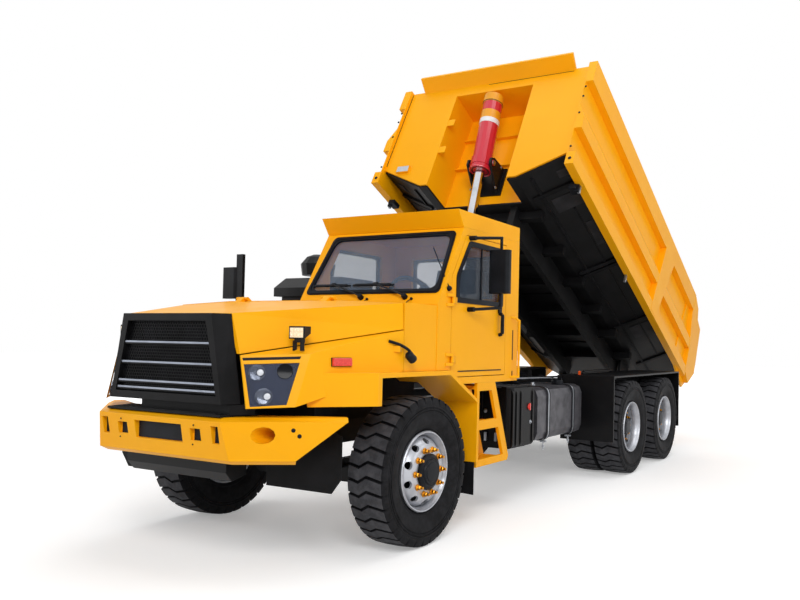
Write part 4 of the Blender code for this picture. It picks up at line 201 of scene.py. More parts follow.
def glazing(name, tint, sky, alpha):
    """Tinted safety glass: it colours what lies behind it and mirrors the white surroundings, and a
    pale sky colour laid into its own colour in uneven patches is a painted reflection."""
    material, tree, shader, place = surface(name, "glass", roughness=0.03)
    # Painted reflection: the sky colour is mixed into the glass colour in uneven patches.
    reflection_patches = add(tree, "TexNoise", {"Scale": 3.0, "Detail": 4.0}, {"Vector": place})
    tree.links.new(mottled(tree, reflection_patches.outputs["Fac"], linear(tint), linear(sky), 0.3, 1.2),
                   shader.inputs["Base Color"])
    shader.inputs["Alpha"].default_value = alpha
    return material


def moulded_lens(name, slot, tint, pale, cell_mm, glow=0.0):
    """Moulded acrylic lens: small optic cells scatter light, so the tint runs from pale to deep."""
    material, tree, shader, place = surface(name, slot, roughness=0.12, ior=1.49, coat=0.5)
    cells = add(tree, "TexVoronoi", {"Scale": 1 / (cell_mm * MM)}, {"Vector": place})
    tree.links.new(mottled(tree, cells.outputs["Distance"], linear(pale), linear(tint), 0.0, 0.6),
                   shader.inputs["Base Color"])
    shader.inputs["Emission Color"].default_value = linear(pale)
    shader.inputs["Emission Strength"].default_value = glow
    eased_edges(tree, shader, 1.0, cells.outputs["Distance"], 0.5, 0.4)
    return material


def bed_plate():
    """The bed's floor: yellow enamel scoured pale on the load side, black underseal below."""
    material, tree, shader, place = surface("bed_floor_enamel_and_underseal", "black", roughness=0.50, ior=1.26)
    up = TIP.to_3x3() @ Vector((0, 0, 1))
    facing = add(tree, "VectorTransform", links={"Vector": add(tree, "NewGeometry").outputs["True Normal"]},
                 vector_type="NORMAL", convert_from="WORLD", convert_to="OBJECT")
    raised = add(tree, "VectorMath", {1: up}, {0: facing.outputs["Vector"]}, operation="DOT_PRODUCT")
    load_side = add(tree, "MapRange", {"From Min": 0.28, "From Max": 0.32}, {"Value": raised.outputs["Value"]})
    film = add(tree, "TexNoise", {"Scale": 5.0, "Detail": 8.0}, {"Vector": place})
    below = mottled(tree, film.outputs["Fac"], linear("070708"), linear("151517"), 0.35, 0.9)
    above = mottled(tree, film.outputs["Fac"], linear("E39B08"), linear("B98F4A"), 0.35, 0.9)
    both = add(tree, "Mix", links={"Factor": load_side.outputs["Result"], "A": below, "B": above},
               data_type="RGBA")
    tree.links.new(both.outputs["Result"], shader.inputs["Base Color"])
    eased_edges(tree, shader, 5.0)
    return material


# The second colour of each sprayed paint is its paler tone, and also its painted edge highlight.
YELLOW = sprayed_paint("yellow_enamel", "yellow", "FAAC02", "FFC21C", "8C6A30", 0.03, 0.42, 0.06, ior=1.24)
CHASSIS = sprayed_paint("chassis_black_enamel", "black", "070709", "1A1B1D", "4A463F", 0.04, 0.42, 0.04,
                        ior=1.24)
UNDERSEAL = grained("black_underseal", "black", "0A0A0B", "17171A", 0.55, 5.0, 0.5)
PAD = grained("grey_wear_pad", "black", "242426", "343437", 0.60, 4.0, 0.3)
TEXTURED = grained("textured_black_powder_coat", "black", "070708", "141416", 0.48, 3.0, 0.6)
NETTING = grained("glossy_grille_netting", "black", "0A0A0C", "1C1C20", 0.30, 2.0, 0.1, bevel_mm=0.5)
MOULDED = grained("moulded_black_polypropylene", "black", "0E1013", "1B1D22", 0.40, 1.5, 0.15)
SEAL = grained("extruded_rubber_seal", "black", "0E0F13", "1B1D23", 0.45, 2.0, 0.1)
FLAP_RUBBER = grained("mud_flap_rubber", "black", "0D0D0E", "1D1D1F", 0.60, 3.0, 0.3)
UPHOLSTERY = woven_cloth()
DASH_SKIN = grained("dash_moulding", "fabric", "26282B", "36383C", 0.60, 1.8, 0.3)
RUBBER = tread_rubber("vulcanised_tyre_rubber", "0D0D0F", "27272A")
LUG_TOP_RUBBER = tread_rubber("paler_lug_top_rubber", "38383B", "57575B")
RIM_PAINT = bare_metal("silver_wheel_paint", "steel", "B4B6BC", "92959B", 0.36, 2.0, metallic=0.7)
# A darker copy of the silver wheel paint, as painted shade on the rear discs deep inside the twin wheels.
SHADE_DARKENED_DISC = bare_metal("wheel_disc_paint_with_painted_shade", "steel", "6B6E74", "4A4C51", 0.45, 2.0, metallic=0.5)
BRIGHT = bare_metal("hard_chrome_plate", "steel", "D5D8DD", "B4B8BF", 0.12, 1.0)
STEEL = bare_metal("zinc_plated_steel", "steel", "A9ADB3", "7F838A", 0.32, 1.5)
# The bright strips on the grille bars stand in for the sky's reflection on their tops: a painted highlight.
BAR_HIGHLIGHT_METAL = bare_metal("bar_edge_painted_highlight", "steel", "9298A4", "6F7480", 0.30, 1.0)
BRASS = bare_metal("yellow_zinc_plate", "steel", "CF8E2B", "9C6518", 0.30, 1.0)
TANK_METAL = bare_metal("brushed_tank_steel", "black", "57565B", "2E2E32", 0.40, 2.5, metallic=0.6)
CASTING = grained("painted_casting", "iron", "1F2023", "34363A", 0.50, 4.0, 0.8)
HUB_GREY = grained("grey_hub_casting", "iron", "2A2B2E", "46474B", 0.42, 3.0, 0.4)
HOIST_RED = sprayed_paint("hoist_red_enamel", "red", "C8102A", "E8506A", "8C7A5C", 0.01, 0.20, 0.9, 2.0)
BAND_YELLOW = sprayed_paint("yellow_band_enamel", "yellow", "E69A08", "F6B93A", "8C7A5C", 0.02, 0.35, 0.5, 1.0)
BAND_WHITE = sprayed_paint("white_band_enamel", "red", "E6E7EA", "FFFFFF", "8C7A5C", 0.02, 0.35, 0.4, 1.0)
PALE_PLATE = grained("blank_pale_plate", "steel", "BFC3C9", "D6D9DE", 0.40, 2.0, 0.1)
ORANGE = grained("orange_marker_plastic", "red", "E2480A", "F06A1E", 0.40, 2.0, 0.1)
# The second colour of each glass is a painted reflection of the sky.
SCREEN_GLASS = glazing("laminated_windscreen", "6C7F9A", "A4B4C6", 0.26)
SIDE_GLASS = glazing("toughened_side_glass", "3E4958", "7C8C9C", 0.34)
LAMP_COVER = glazing("smoked_lamp_cover", "3A4258", "5C6680", 0.22)
LAMP_PANEL = grained("lamp_backing_panel", "glass", "262C40", "343B52", 0.28, 2.0, 0.05)
REFLECTOR = bare_metal("vacuum_plated_reflector", "steel", "7D838F", "2A2D35", 0.14, 3.0)
DARK_LENS = grained("dark_lamp_lens", "glass", "08090C", "12141A", 0.12, 2.0, 0.05)
LENS = moulded_lens("clear_lamp_lens", "glass", "DDE2EA", "FFFFFF", 6.0, glow=0.55)
LED = moulded_lens("warm_led_lens", "glass", "E8C896", "FBF3E2", 5.0, glow=0.25)
RED_LENS = moulded_lens("red_lamp_lens", "red", "C8180E", "F04A38", 7.0, glow=0.10)
BED_FLOOR = bed_plate()
MIRROR = bare_metal("silvered_mirror_glass", "glass", "DDE2E6", "CFD5DA", 0.04, 4.0)

# The finish of each CAD node that keeps its own shape
NODE_FINISHES = (
    (YELLOW, ("cab_body", "cab_roof", "cowl", "door", "fender_left", "fender_right", "hood", "bumper", "steps",
              "bed_side_left", "bed_side_right", "bed_front", "tailgate")),
    (CHASSIS, ("frame", "battery_box", "mudguard_left", "mudguard_right", "front_axle", "rear_bogie",
               "knuckle_left", "knuckle_right", "skid_beam", "trunnion_bracket", "air_cleaner")),
    (MOULDED, ("mirror_left", "mirror_right")),
    (TEXTURED, ("grille",)),
    (BED_FLOOR, ("bed_floor",)),
    (TANK_METAL, ("fuel_tank",)),
    (CASTING, ("engine",)),
    (UPHOLSTERY, ("seat",)),
    (DASH_SKIN, ("dash",)),
    (SCREEN_GLASS, ("windscreen", "rear_window")),
    (SIDE_GLASS, ("door_glass", "side_window")),
    (HOIST_RED, ("hoist_barrel",)),
    (BRIGHT, ("hoist_stage_1", "hoist_stage_2", "hoist_rod")),
    (RUBBER, ("front_wheel_left", "front_wheel_right", "rear_wheels_1_left", "rear_wheels_1_right",
              "rear_wheels_2_left", "rear_wheels_2_right")),
)
for finish, names in NODE_FINISHES:
    for name in names:
        node = frame["nodes"][name]
        node.data.materials.clear()
        node.data.materials.append(finish)


# Making pieces
SHARP_EDGE = math.radians(32)


def piece(name, points, faces, finish, body, bevel=0.0, sharp=SHARP_EDGE, segments=2):
    """A mesh piece in the frame's coordinates, riding on a CAD body."""
    mesh = bpy.data.meshes.new(name)
    mesh.from_pydata([tuple(p) for p in points], [], [list(f) for f in faces])
    work = bmesh.new()
    work.from_mesh(mesh)
    bmesh.ops.remove_doubles(work, verts=work.verts, dist=0.01 * MM)
    bmesh.ops.recalc_face_normals(work, faces=work.faces)
    work.to_mesh(mesh)
    work.free()
    mesh.shade_smooth()
    mesh.set_sharp_from_angle(angle=sharp)
    item = bpy.data.objects.new(name, mesh)
    bpy.context.scene.collection.objects.link(item)
    mesh.materials.append(finish)
    if bevel:
        round_off = item.modifiers.new("edges", "BEVEL")
        round_off.width = bevel
        round_off.segments = segments
        round_off.limit_method = "ANGLE"
        round_off.harden_normals = True
    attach(item, body)
    return item


def ring_faces(rings, size, closed=False):
    """Quads that join rings of points in their order, and the last to the first where it is closed."""
    faces = []
    for r in range(rings if closed else rings - 1):
        for i in range(size):
            a, b, j = r * size, (r + 1) % rings * size, (i + 1) % size
            faces.append((a + i, a + j, b + j, b + i))
    return faces


def end_caps(rings, size):
    """The first and the last ring of points as faces."""
    return [range(size), range(rings * size - 1, (rings - 1) * size - 1, -1)]


def slab(low, high, outline, axis="X", place=at):
    """An outline in the plane across an axis, drawn out from low to high: (points, faces)."""
    spots = {"X": (1, 2, 0), "Y": (0, 2, 1), "Z": (0, 1, 2)}[axis]
    points = []
    for depth in (low, high):
        for a, b in outline:
            xyz = [0.0, 0.0, 0.0]
            xyz[spots[0]], xyz[spots[1]], xyz[spots[2]] = a, b, depth
            points.append(place(*xyz))
    return points, end_caps(2, len(outline)) + ring_faces(2, len(outline))


def brick(x, y, z, place=at):
    """A block between three (low, high) pairs."""
    return slab(z[0], z[1], [(x[0], y[0]), (x[1], y[0]), (x[1], y[1]), (x[0], y[1])], "Z", place)


def merged(*bodies):
    """Several (points, faces) as one."""
    points, faces = [], []
    for some, own in bodies:
        start = len(points)
        points += some
        faces += [[start + i for i in face] for face in own]
    return points, faces


def lathe(profile, steps, centre, axis, closed=False):
    """A profile of (along, radius) turned about an axis that starts at centre."""
    axis = Vector(axis).normalized()
    side = axis.cross(Vector((0, 0, 1)) if abs(axis.z) < 0.9 else Vector((0, 1, 0))).normalized()
    up = side.cross(axis)
    points = []
    for along, radius in profile:
        for i in range(steps):
            turn = 2 * math.pi * i / steps
            points.append(centre + axis * along + (side * math.cos(turn) + up * math.sin(turn)) * radius)
    faces = ring_faces(len(profile), steps, closed)
    if not closed:
        faces += end_caps(len(profile), steps)
    return points, faces


def softened(points, radius, cyclic=False, steps=4):
    """A path with its corners rounded."""
    points = [Vector(p) for p in points]
    count = len(points)
    out = []
    for i, p in enumerate(points):
        if not cyclic and i in (0, count - 1):
            out.append(p)
            continue
        before, after = points[i - 1], points[(i + 1) % count]
        reach = min(radius, (before - p).length * 0.45, (after - p).length * 0.45)
        start = p + (before - p).normalized() * reach
        end = p + (after - p).normalized() * reach
        for k in range(steps + 1):
            t = k / steps
            out.append(start * (1 - t) ** 2 + p * 2 * t * (1 - t) + end * t * t)
    return out


def tube(name, points, radius, finish, body, corner=0.0, sides=10, flat=None):
    """A round bar along a path, or a flat strip when its (across, thick) half sizes are given."""
    path = softened(points, corner) if corner else [Vector(p) for p in points]
    shape = [(math.cos(2 * math.pi * i / sides) * radius, math.sin(2 * math.pi * i / sides) * radius)
             for i in range(sides)]
    if flat:
        shape = [(-flat[0], -flat[1]), (flat[0], -flat[1]), (flat[0], flat[1]), (-flat[0], flat[1])]
    points = []
    across = None
    for i, p in enumerate(path):
        ahead = (path[min(i + 1, len(path) - 1)] - path[max(i - 1, 0)]).normalized()
        if across is None:
            across = ahead.cross(Vector((0, 0, 1)) if abs(ahead.z) < 0.9 else Vector((1, 0, 0))).normalized()
        across = (across - ahead * across.dot(ahead)).normalized()
        up = across.cross(ahead)
        points += [p + across * a + up * b for a, b in shape]
    faces = ring_faces(len(path), len(shape)) + end_caps(len(path), len(shape))
    return piece(name, points, faces, finish, body)


def face(origin, along, rise):
    """Places on a flat face: metres along it, up it, and out from it."""
    along = Vector(along).normalized()
    out = along.cross(Vector(rise)).normalized()
    rise = out.cross(along)
    return lambda a, b, c: origin + along * a + rise * b + out * c


def other_side(place):
    """The same places on the truck's right."""
    def mirrored(*spot):
        point = place(*spot)
        return Vector((-point.x, point.y, point.z))
    return mirrored


BOTH_SIDES = (("left", lambda place: place), ("right", other_side))


def sided(side, way):
    """A direction on the truck's left for 1, mirrored to its right for -1."""
    return Vector((side * way.x, way.y, way.z))


def grown(corners, amount):
    """A convex outline moved outwards, or inwards for less than zero."""
    corners = [Vector(c) for c in corners]
    middle = sum(corners, Vector((0, 0))) / len(corners)
    lines = []
    for i, start in enumerate(corners):
        ahead = (corners[(i + 1) % len(corners)] - start).normalized()
        out = Vector((ahead.y, -ahead.x))
        if out.dot(start - middle) < 0:
            out = -out
        lines.append((start + out * amount, ahead))
    moved = []
    for i, (start, ahead) in enumerate(lines):
        other, before = lines[i - 1]
        reach = (other - start).cross(before) / ahead.cross(before)
        moved.append(start + ahead * reach)
    return moved


def band(name, corners, outside, inside, low, high, place, finish, body):
    """A closed frame round an outline: (growth, corner radius) of its outer and inner edges."""
    loops = []
    for amount, radius in (outside, inside):
        outline = [Vector((a, b, 0)) for a, b in grown(corners, amount)]
        loops.append(softened(outline, radius, cyclic=True, steps=6))
    rings = [(loops[0], low), (loops[0], high), (loops[1], high), (loops[1], low)]
    points = [place(p.x, p.y, depth) for loop, depth in rings for p in loop]
    return piece(name, points, ring_faces(len(rings), len(loops[0]), closed=True), finish, body)


def bolt_head(spot, axis, radius):
    """A washer with a hexagon head on it: (points, faces)."""
    washer = lathe([(0, radius * 1.5), (radius * 0.25, radius * 1.5), (radius * 0.3, radius * 1.35)], 16, spot, axis)
    head = lathe([(radius * 0.3, radius), (radius, radius), (radius * 1.1, radius * 0.8)], 6, spot, axis)
    return merged(washer, head)


# Tyres
LUGS = 34
LUG_DEPTH = 19 * MM
GROOVE = 16 * MM
GROOVE_RAMP = 3.5 * MM
# Across the tread: place from the tyre's middle, drop below the crown, share of the lug depth
# that a groove has there, and how far the zigzag runs ahead
TREAD = (
    (-0.1585, 0.062, 0.00, 0.000),
    (-0.1575, 0.047, 0.55, 0.000),
    (-0.1520, 0.018, 1.00, 0.002),
    (-0.1450, 0.007, 1.00, 0.004),
    (-0.0950, 0.003, 1.00, -0.006),
    (-0.0500, 0.001, 1.00, -0.018),
    (0.0200, 0.000, 1.00, 0.024),
    (0.0850, 0.003, 1.00, 0.010),
    (0.1450, 0.007, 1.00, -0.004),
    (0.1520, 0.018, 1.00, -0.006),
    (0.1575, 0.047, 0.55, -0.006),
    (0.1585, 0.062, 0.00, -0.006),
)
# The sidewall from the shoulder to the bead: place from the middle, and radius
WALL = (
    (0.1575, 0.494), (0.1605, 0.490), (0.1605, 0.482), (0.1545, 0.479), (0.1545, 0.473), (0.1605, 0.470),
    (0.1605, 0.462), (0.1545, 0.459), (0.1545, 0.453), (0.1600, 0.450), (0.1585, 0.430), (0.1530, 0.400),
    (0.1440, 0.368), (0.1330, 0.342), (0.1265, 0.330), (0.1270, 0.322), (0.1180, 0.312), (0.1120, 0.298),
    (0.0900, 0.292),
)


def tyre(name, centre, side, body):
    """One lug-tread tyre. Side is the way its outer wall faces."""
    columns = [(-x, None, r) for x, r in reversed(WALL)]
    columns += [(x, (drop, share, ahead), WHEEL_R - drop) for x, drop, share, ahead in TREAD]
    columns += [(x, None, r) for x, r in WALL]
    pitch = 2 * math.pi / LUGS
    half_groove = GROOVE / 2 / WHEEL_R
    ramp = GROOVE_RAMP / WHEEL_R
    stops = ((-half_groove - ramp, 0), (-half_groove, 1), (half_groove, 1), (half_groove + ramp, 0), (pitch / 2, 0))
    points = []
    for x, lug, radius in columns:
        for i in range(LUGS):
            for offset, deep in stops:
                turn = i * pitch + offset
                r = radius
                if lug:
                    turn += lug[2] / WHEEL_R
                    r -= deep * lug[1] * LUG_DEPTH
                points.append(centre + Vector((side * x, -math.cos(turn) * r, math.sin(turn) * r)))
    faces = ring_faces(len(columns), LUGS * len(stops), closed=True)
    made = piece(name, points, faces, RUBBER, body, sharp=math.radians(28))
    # The faces on top of the lugs take a paler rubber than the rest of the tyre.
    made.data.materials.append(LUG_TOP_RUBBER)
    to_centre = made.matrix_world.inverted() @ centre
    for polygon in made.data.polygons:
        away = polygon.center - to_centre
        away.x = 0
        on_top = away.length > WHEEL_R - LUG_DEPTH / 2 and away.normalized().dot(polygon.normal) > 0.8
        polygon.material_index = int(on_top)
    return made


NUTS = 10
NUT_CIRCLE = 335 * MM / 2
HAND_HOLES = 10
HOLE_SIDES = 16
HOLE_HALF_HIGH, HOLE_HALF_LONG = 0.020, 0.030
DISC_SLOPE_R = 0.226
# The disc's bolted face and root, measured out from the tyre's middle, and the hub's length beyond the face
FRONT_DISC = (0.158, 0.094, 0.040)
REAR_DISC = (0.005, 0.052, 0.080)
# Rim sections as (place from the tyre's middle, radius), from the inner lip round to the outer one
RIM_SKIN = (
    (-0.118, 0.296), (-0.124, 0.290), (-0.120, 0.278), (-0.104, 0.268), (-0.060, 0.262), (0.040, 0.262),
    (0.084, 0.266), (0.112, 0.274), (0.124, 0.284), (0.140, 0.290), (0.142, 0.298), (0.132, 0.304),
    (0.100, 0.293), (0.060, 0.280), (-0.060, 0.280), (-0.100, 0.290),
)


def dished_disc(seat, root):
    """A wheel disc's section: its bolted face, the slope with the hand holes, and its root."""
    high, low = seat * 0.75 + root * 0.25, seat * 0.25 + root * 0.75
    return (
        (seat, 0.110), (seat, 0.196), (seat - 0.004, 0.206), (high, DISC_SLOPE_R), (low, 0.246), (root, 0.258),
        (root - 0.016, 0.262), (root - 0.014, 0.250), (low - 0.014, 0.238), (high - 0.014, DISC_SLOPE_R - 0.008),
        (seat - 0.018, 0.198), (seat - 0.016, 0.110),
    )


def hand_holes(disc, centre, side, low, high):
    """Oval openings cut through a disc's slope, from low to high out from the tyre's middle."""
    bodies = []
    for i in range(HAND_HOLES):
        turn = 2 * math.pi * (i + 0.5) / HAND_HOLES
        outline = []
        for k in range(HOLE_SIDES):
            a = 2 * math.pi * k / HOLE_SIDES
            radial = DISC_SLOPE_R + HOLE_HALF_HIGH * math.cos(a)
            around = HOLE_HALF_LONG * math.sin(a)
            outline.append((radial * math.cos(turn) - around * math.sin(turn),
                            radial * math.sin(turn) + around * math.cos(turn)))
        bodies.append(slab(low, high, outline, "X", lambda x, y, z: centre + Vector((side * x, y, z))))
    points, faces = merged(*bodies)
    mesh = bpy.data.meshes.new("hand_holes")
    mesh.from_pydata([tuple(p) for p in points], [], [list(f) for f in faces])
    work = bmesh.new()
    work.from_mesh(mesh)
    bmesh.ops.recalc_face_normals(work, faces=work.faces)
    bmesh.ops.transform(work, matrix=disc.matrix_world.inverted(), verts=work.verts)
    work.to_mesh(mesh)
    work.free()
    cutter = bpy.data.objects.new("hand_hole_cutter", mesh)
    bpy.context.scene.collection.objects.link(cutter)
    cutter.matrix_world = disc.matrix_world
    bpy.context.view_layer.update()
    cut = disc.modifiers.new("hand_holes", "BOOLEAN")
    cut.operation = "DIFFERENCE"
    cut.solver = "EXACT"
    cut.object = cutter
    graph = bpy.context.evaluated_depsgraph_get()
    made = bpy.data.meshes.new_from_object(disc.evaluated_get(graph))
    disc.modifiers.clear()
    disc.data = made
    made.shade_smooth()
    made.set_sharp_from_angle(angle=SHARP_EDGE)
    bpy.data.objects.remove(cutter)


def nuts(name, centre, side, seat, body):
    """Wheel nuts with their washers and stud ends, as one piece."""
    axis = Vector((side, 0, 0))
    bodies = []
    for i in range(NUTS):
        turn = 2 * math.pi * i / NUTS
        spot = centre + Vector((side * seat, NUT_CIRCLE * math.cos(turn), NUT_CIRCLE * math.sin(turn)))
        bodies.append(lathe([(0.000, 0.024), (0.006, 0.024), (0.010, 0.020)], 18, spot, axis))
        bodies.append(lathe([(0.010, 0.0175), (0.030, 0.0175), (0.034, 0.0145)], 6, spot, axis))
        bodies.append(lathe([(0.034, 0.0105), (0.052, 0.0105), (0.054, 0.0085)], 12, spot, axis))
    return piece(name, *merged(*bodies), BRASS, body)


def wheel(label, centre, side, body, front):
    """The rim, disc, hub and nuts of one wheel."""
    axis = Vector((side, 0, 0))
    piece("rim_" + label, *lathe(RIM_SKIN, 72, centre, axis, closed=True), RIM_PAINT, body)
    seat, root, reach = FRONT_DISC if front else REAR_DISC
    drum = [(-0.130, 0.150), (-0.130, 0.226), (root - 0.045, 0.226), (root - 0.038, 0.216), (root - 0.036, 0.120)]
    piece("brake_drum_" + label, *lathe(drum, 40, centre, axis), CASTING, body)
    # The rear discs take the darker copy of the wheel paint as painted shade.
    paint = RIM_PAINT if front else SHADE_DARKENED_DISC
    disc = piece("disc_" + label, *lathe(dished_disc(seat, root), 72, centre, axis, closed=True), paint, body)
    hand_holes(disc, centre, side, seat - 0.09, seat + 0.09)
    nuts("nuts_" + label, centre, side, seat, body)
    end = seat + reach
    hub = lathe([
        (seat - 0.030, 0.138), (seat + 0.016, 0.136), (seat + 0.022, 0.128), (seat + 0.030, 0.108),
        (end - 0.012, 0.098), (end, 0.090), (end, 0.076), (end + 0.006, 0.072), (end + 0.008, 0.050),
        (end + 0.008, 0.004),
    ], 40, centre, axis)
    piece("hub_" + label, *hub, MOULDED if front else HUB_GREY, body)


TWIN_PITCH = 0.339
for word, side in (("left", 1), ("right", -1)):
    name = "front_wheel_" + word
    centre = Vector(JOINTS["roll_front_" + word]["pos_m"])
    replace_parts(tyre("tyre_front_" + word, centre, side, name), name)
    wheel("front_" + word, centre, side, name, True)
    for axle in (1, 2):
        name = f"rear_wheels_{axle}_{word}"
        label = f"rear_{axle}_{word}"
        inner = Vector(JOINTS[f"roll_rear_{axle}_{word}"]["pos_m"])
        outer = inner + Vector((side * TWIN_PITCH, 0, 0))
        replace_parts(tyre("tyre_outer_" + label, outer, side, name), name)
        tyre("tyre_inner_" + label, inner, side, name)
        wheel(label, outer, side, name, False)
        piece("inner_rim_" + label, *lathe(RIM_SKIN, 48, inner, (side, 0, 0), closed=True), RIM_PAINT, name)

# Grille: pressed netting over the recessed panel, and a bright metal strip along each bar's top front edge as a
# painted highlight
GRILLE_Z = (1.110, 1.690)
GRILLE_HALF = (0.540, 0.430)
GRILLE_BORDER = 0.050
GRILLE_PANEL_Y = -1.350
BAR_FRONT_Y = -1.379
BAR_ZS = (1.490, 1.354, 1.227, 1.180)
NET_PITCH = 24 * MM
NET_STRAND = 2.4 * MM
NET_T = 5 * MM


def grille_half(z):
    """Half the width of the grille's opening at a height."""
    share = (z - GRILLE_Z[0]) / (GRILLE_Z[1] - GRILLE_Z[0])
    return GRILLE_HALF[0] + (GRILLE_HALF[1] - GRILLE_HALF[0]) * share - GRILLE_BORDER


def netting():
    """Hexagonal netting, cell by cell: its front, the walls of its holes and its back."""
    row_pitch = NET_PITCH * math.sqrt(3) / 2
    rows = int((GRILLE_Z[1] - GRILLE_Z[0] - 2 * GRILLE_BORDER) / row_pitch)
    outer = NET_PITCH / math.sqrt(3)
    inner = outer - NET_STRAND
    cells = []
    for row in range(rows):
        z = GRILLE_Z[0] + GRILLE_BORDER + (row + 0.5) * row_pitch
        count = int((grille_half(z) - NET_PITCH * 0.6) / NET_PITCH)
        for column in range(-count, count + 1):
            x = (column + 0.5 * (row % 2)) * NET_PITCH
            points = []
            for radius, y in ((outer, -NET_T), (inner, -NET_T), (inner, 0), (outer, 0)):
                for k in range(6):
                    turn = math.radians(60 * k + 30)
                    points.append(at(x + radius * math.cos(turn), GRILLE_PANEL_Y - MM + y,
                                     z + radius * math.sin(turn)))
            cells.append((points, ring_faces(4, 6)))
    return merged(*cells)


piece("grille_netting", *netting(), NETTING, "hood", sharp=math.radians(50))
bar_highlights = []
# Painted highlight: a bright strip along the top front edge of each bar.
for z in BAR_ZS:
    half = grille_half(z) - 2 * MM
    bar_highlights.append(brick((-half, half), (BAR_FRONT_Y - 1.5 * MM, BAR_FRONT_Y + 9 * MM), (z + 1 * MM, z + 13 * MM)))
piece("grille_bar_painted_highlights", *merged(*bar_highlights), BAR_HIGHLIGHT_METAL, "hood")

# Headlamps: a dark backing with two projectors and a blanked lamp, under a smoked cover
LAMP_CORNERS = [Vector(c) for c in ((0.600, -1.300, 1.424), (0.925, -1.005, 1.440), (0.908, -1.117, 1.098),
                                    (0.684, -1.320, 1.087))]
LAMP_GLASS = ((0.045, 0.170), (0.870, 0.165), (0.810, 0.950), (0.090, 0.965))
SLOT = ((0.03, 0.050), (0.87, 0.045), (0.86, 0.098), (0.04, 0.103))
PROJECTORS = ((0.230, 0.330), (0.350, 0.780))
BLANK_LAMP = (0.670, 0.320)
LAMP_OUT = (LAMP_CORNERS[3] - LAMP_CORNERS[0]).cross(LAMP_CORNERS[1] - LAMP_CORNERS[0]).normalized()
LAMP_ALONG = (LAMP_CORNERS[1] - LAMP_CORNERS[0]).normalized()
# Turned sections, as (out from the lamp's face, radius). The lens sits to one side in its bowl.
BOWL = ((-0.0195, 0.0540), (-0.0050, 0.0540), (-0.0030, 0.0515), (-0.0040, 0.0480), (-0.0066, 0.0380),
        (-0.0074, 0.0200), (-0.0075, 0.0010))
BEZEL = ((-0.0085, 0.0250), (-0.0035, 0.0250), (-0.0028, 0.0235), (-0.0030, 0.0215), (-0.0060, 0.0205))
DOME = ((-0.0080, 0.0212), (-0.0040, 0.0205), (-0.0031, 0.0170), (-0.0027, 0.0100), (-0.0025, 0.0010))
BLANK = ((-0.0195, 0.0500), (0.0002, 0.0500), (0.0012, 0.0485), (0.0008, 0.0460), (0.0004, 0.0010))
LENS_ASIDE = 0.022


def lamp_face(u, v, out):
    """A place on the headlamp's face, by its shares from the top inner corner."""
    top = LAMP_CORNERS[0].lerp(LAMP_CORNERS[1], u)
    low = LAMP_CORNERS[3].lerp(LAMP_CORNERS[2], u)
    return at(*(top.lerp(low, v) + LAMP_OUT * out))


for word, hand in BOTH_SIDES:
    place = hand(lamp_face)
    side = 1 if word == "left" else -1
    out = sided(side, LAMP_OUT)
    piece("headlamp_backing_" + word, *slab(-0.0195, -0.0150, LAMP_GLASS, "Z", place), LAMP_PANEL, "truck")
    piece("headlamp_cover_" + word, *slab(-0.0020, -0.0008, LAMP_GLASS, "Z", place), LAMP_COVER, "truck")
    piece("headlamp_slot_" + word, *slab(-0.0020, 0.0008, SLOT, "Z", place), SEAL, "truck")
    bowls, rings, lenses = [], [], []
    for u, v in PROJECTORS:
        spot = place(u, v, 0)
        bowls.append(lathe(BOWL, 40, spot, out))
        aside = spot + sided(side, LAMP_ALONG) * LENS_ASIDE
        rings.append(lathe(BEZEL, 28, aside, out))
        lenses.append(lathe(DOME, 28, aside, out))
    piece("headlamp_bowls_" + word, *merged(*bowls), REFLECTOR, "truck")
    piece("headlamp_rings_" + word, *merged(*rings), DARK_LENS, "truck")
    piece("headlamp_lenses_" + word, *merged(*lenses), LENS, "truck")
    piece("blank_lamp_" + word, *lathe(BLANK, 36, place(*BLANK_LAMP, 0), out), DARK_LENS, "truck")

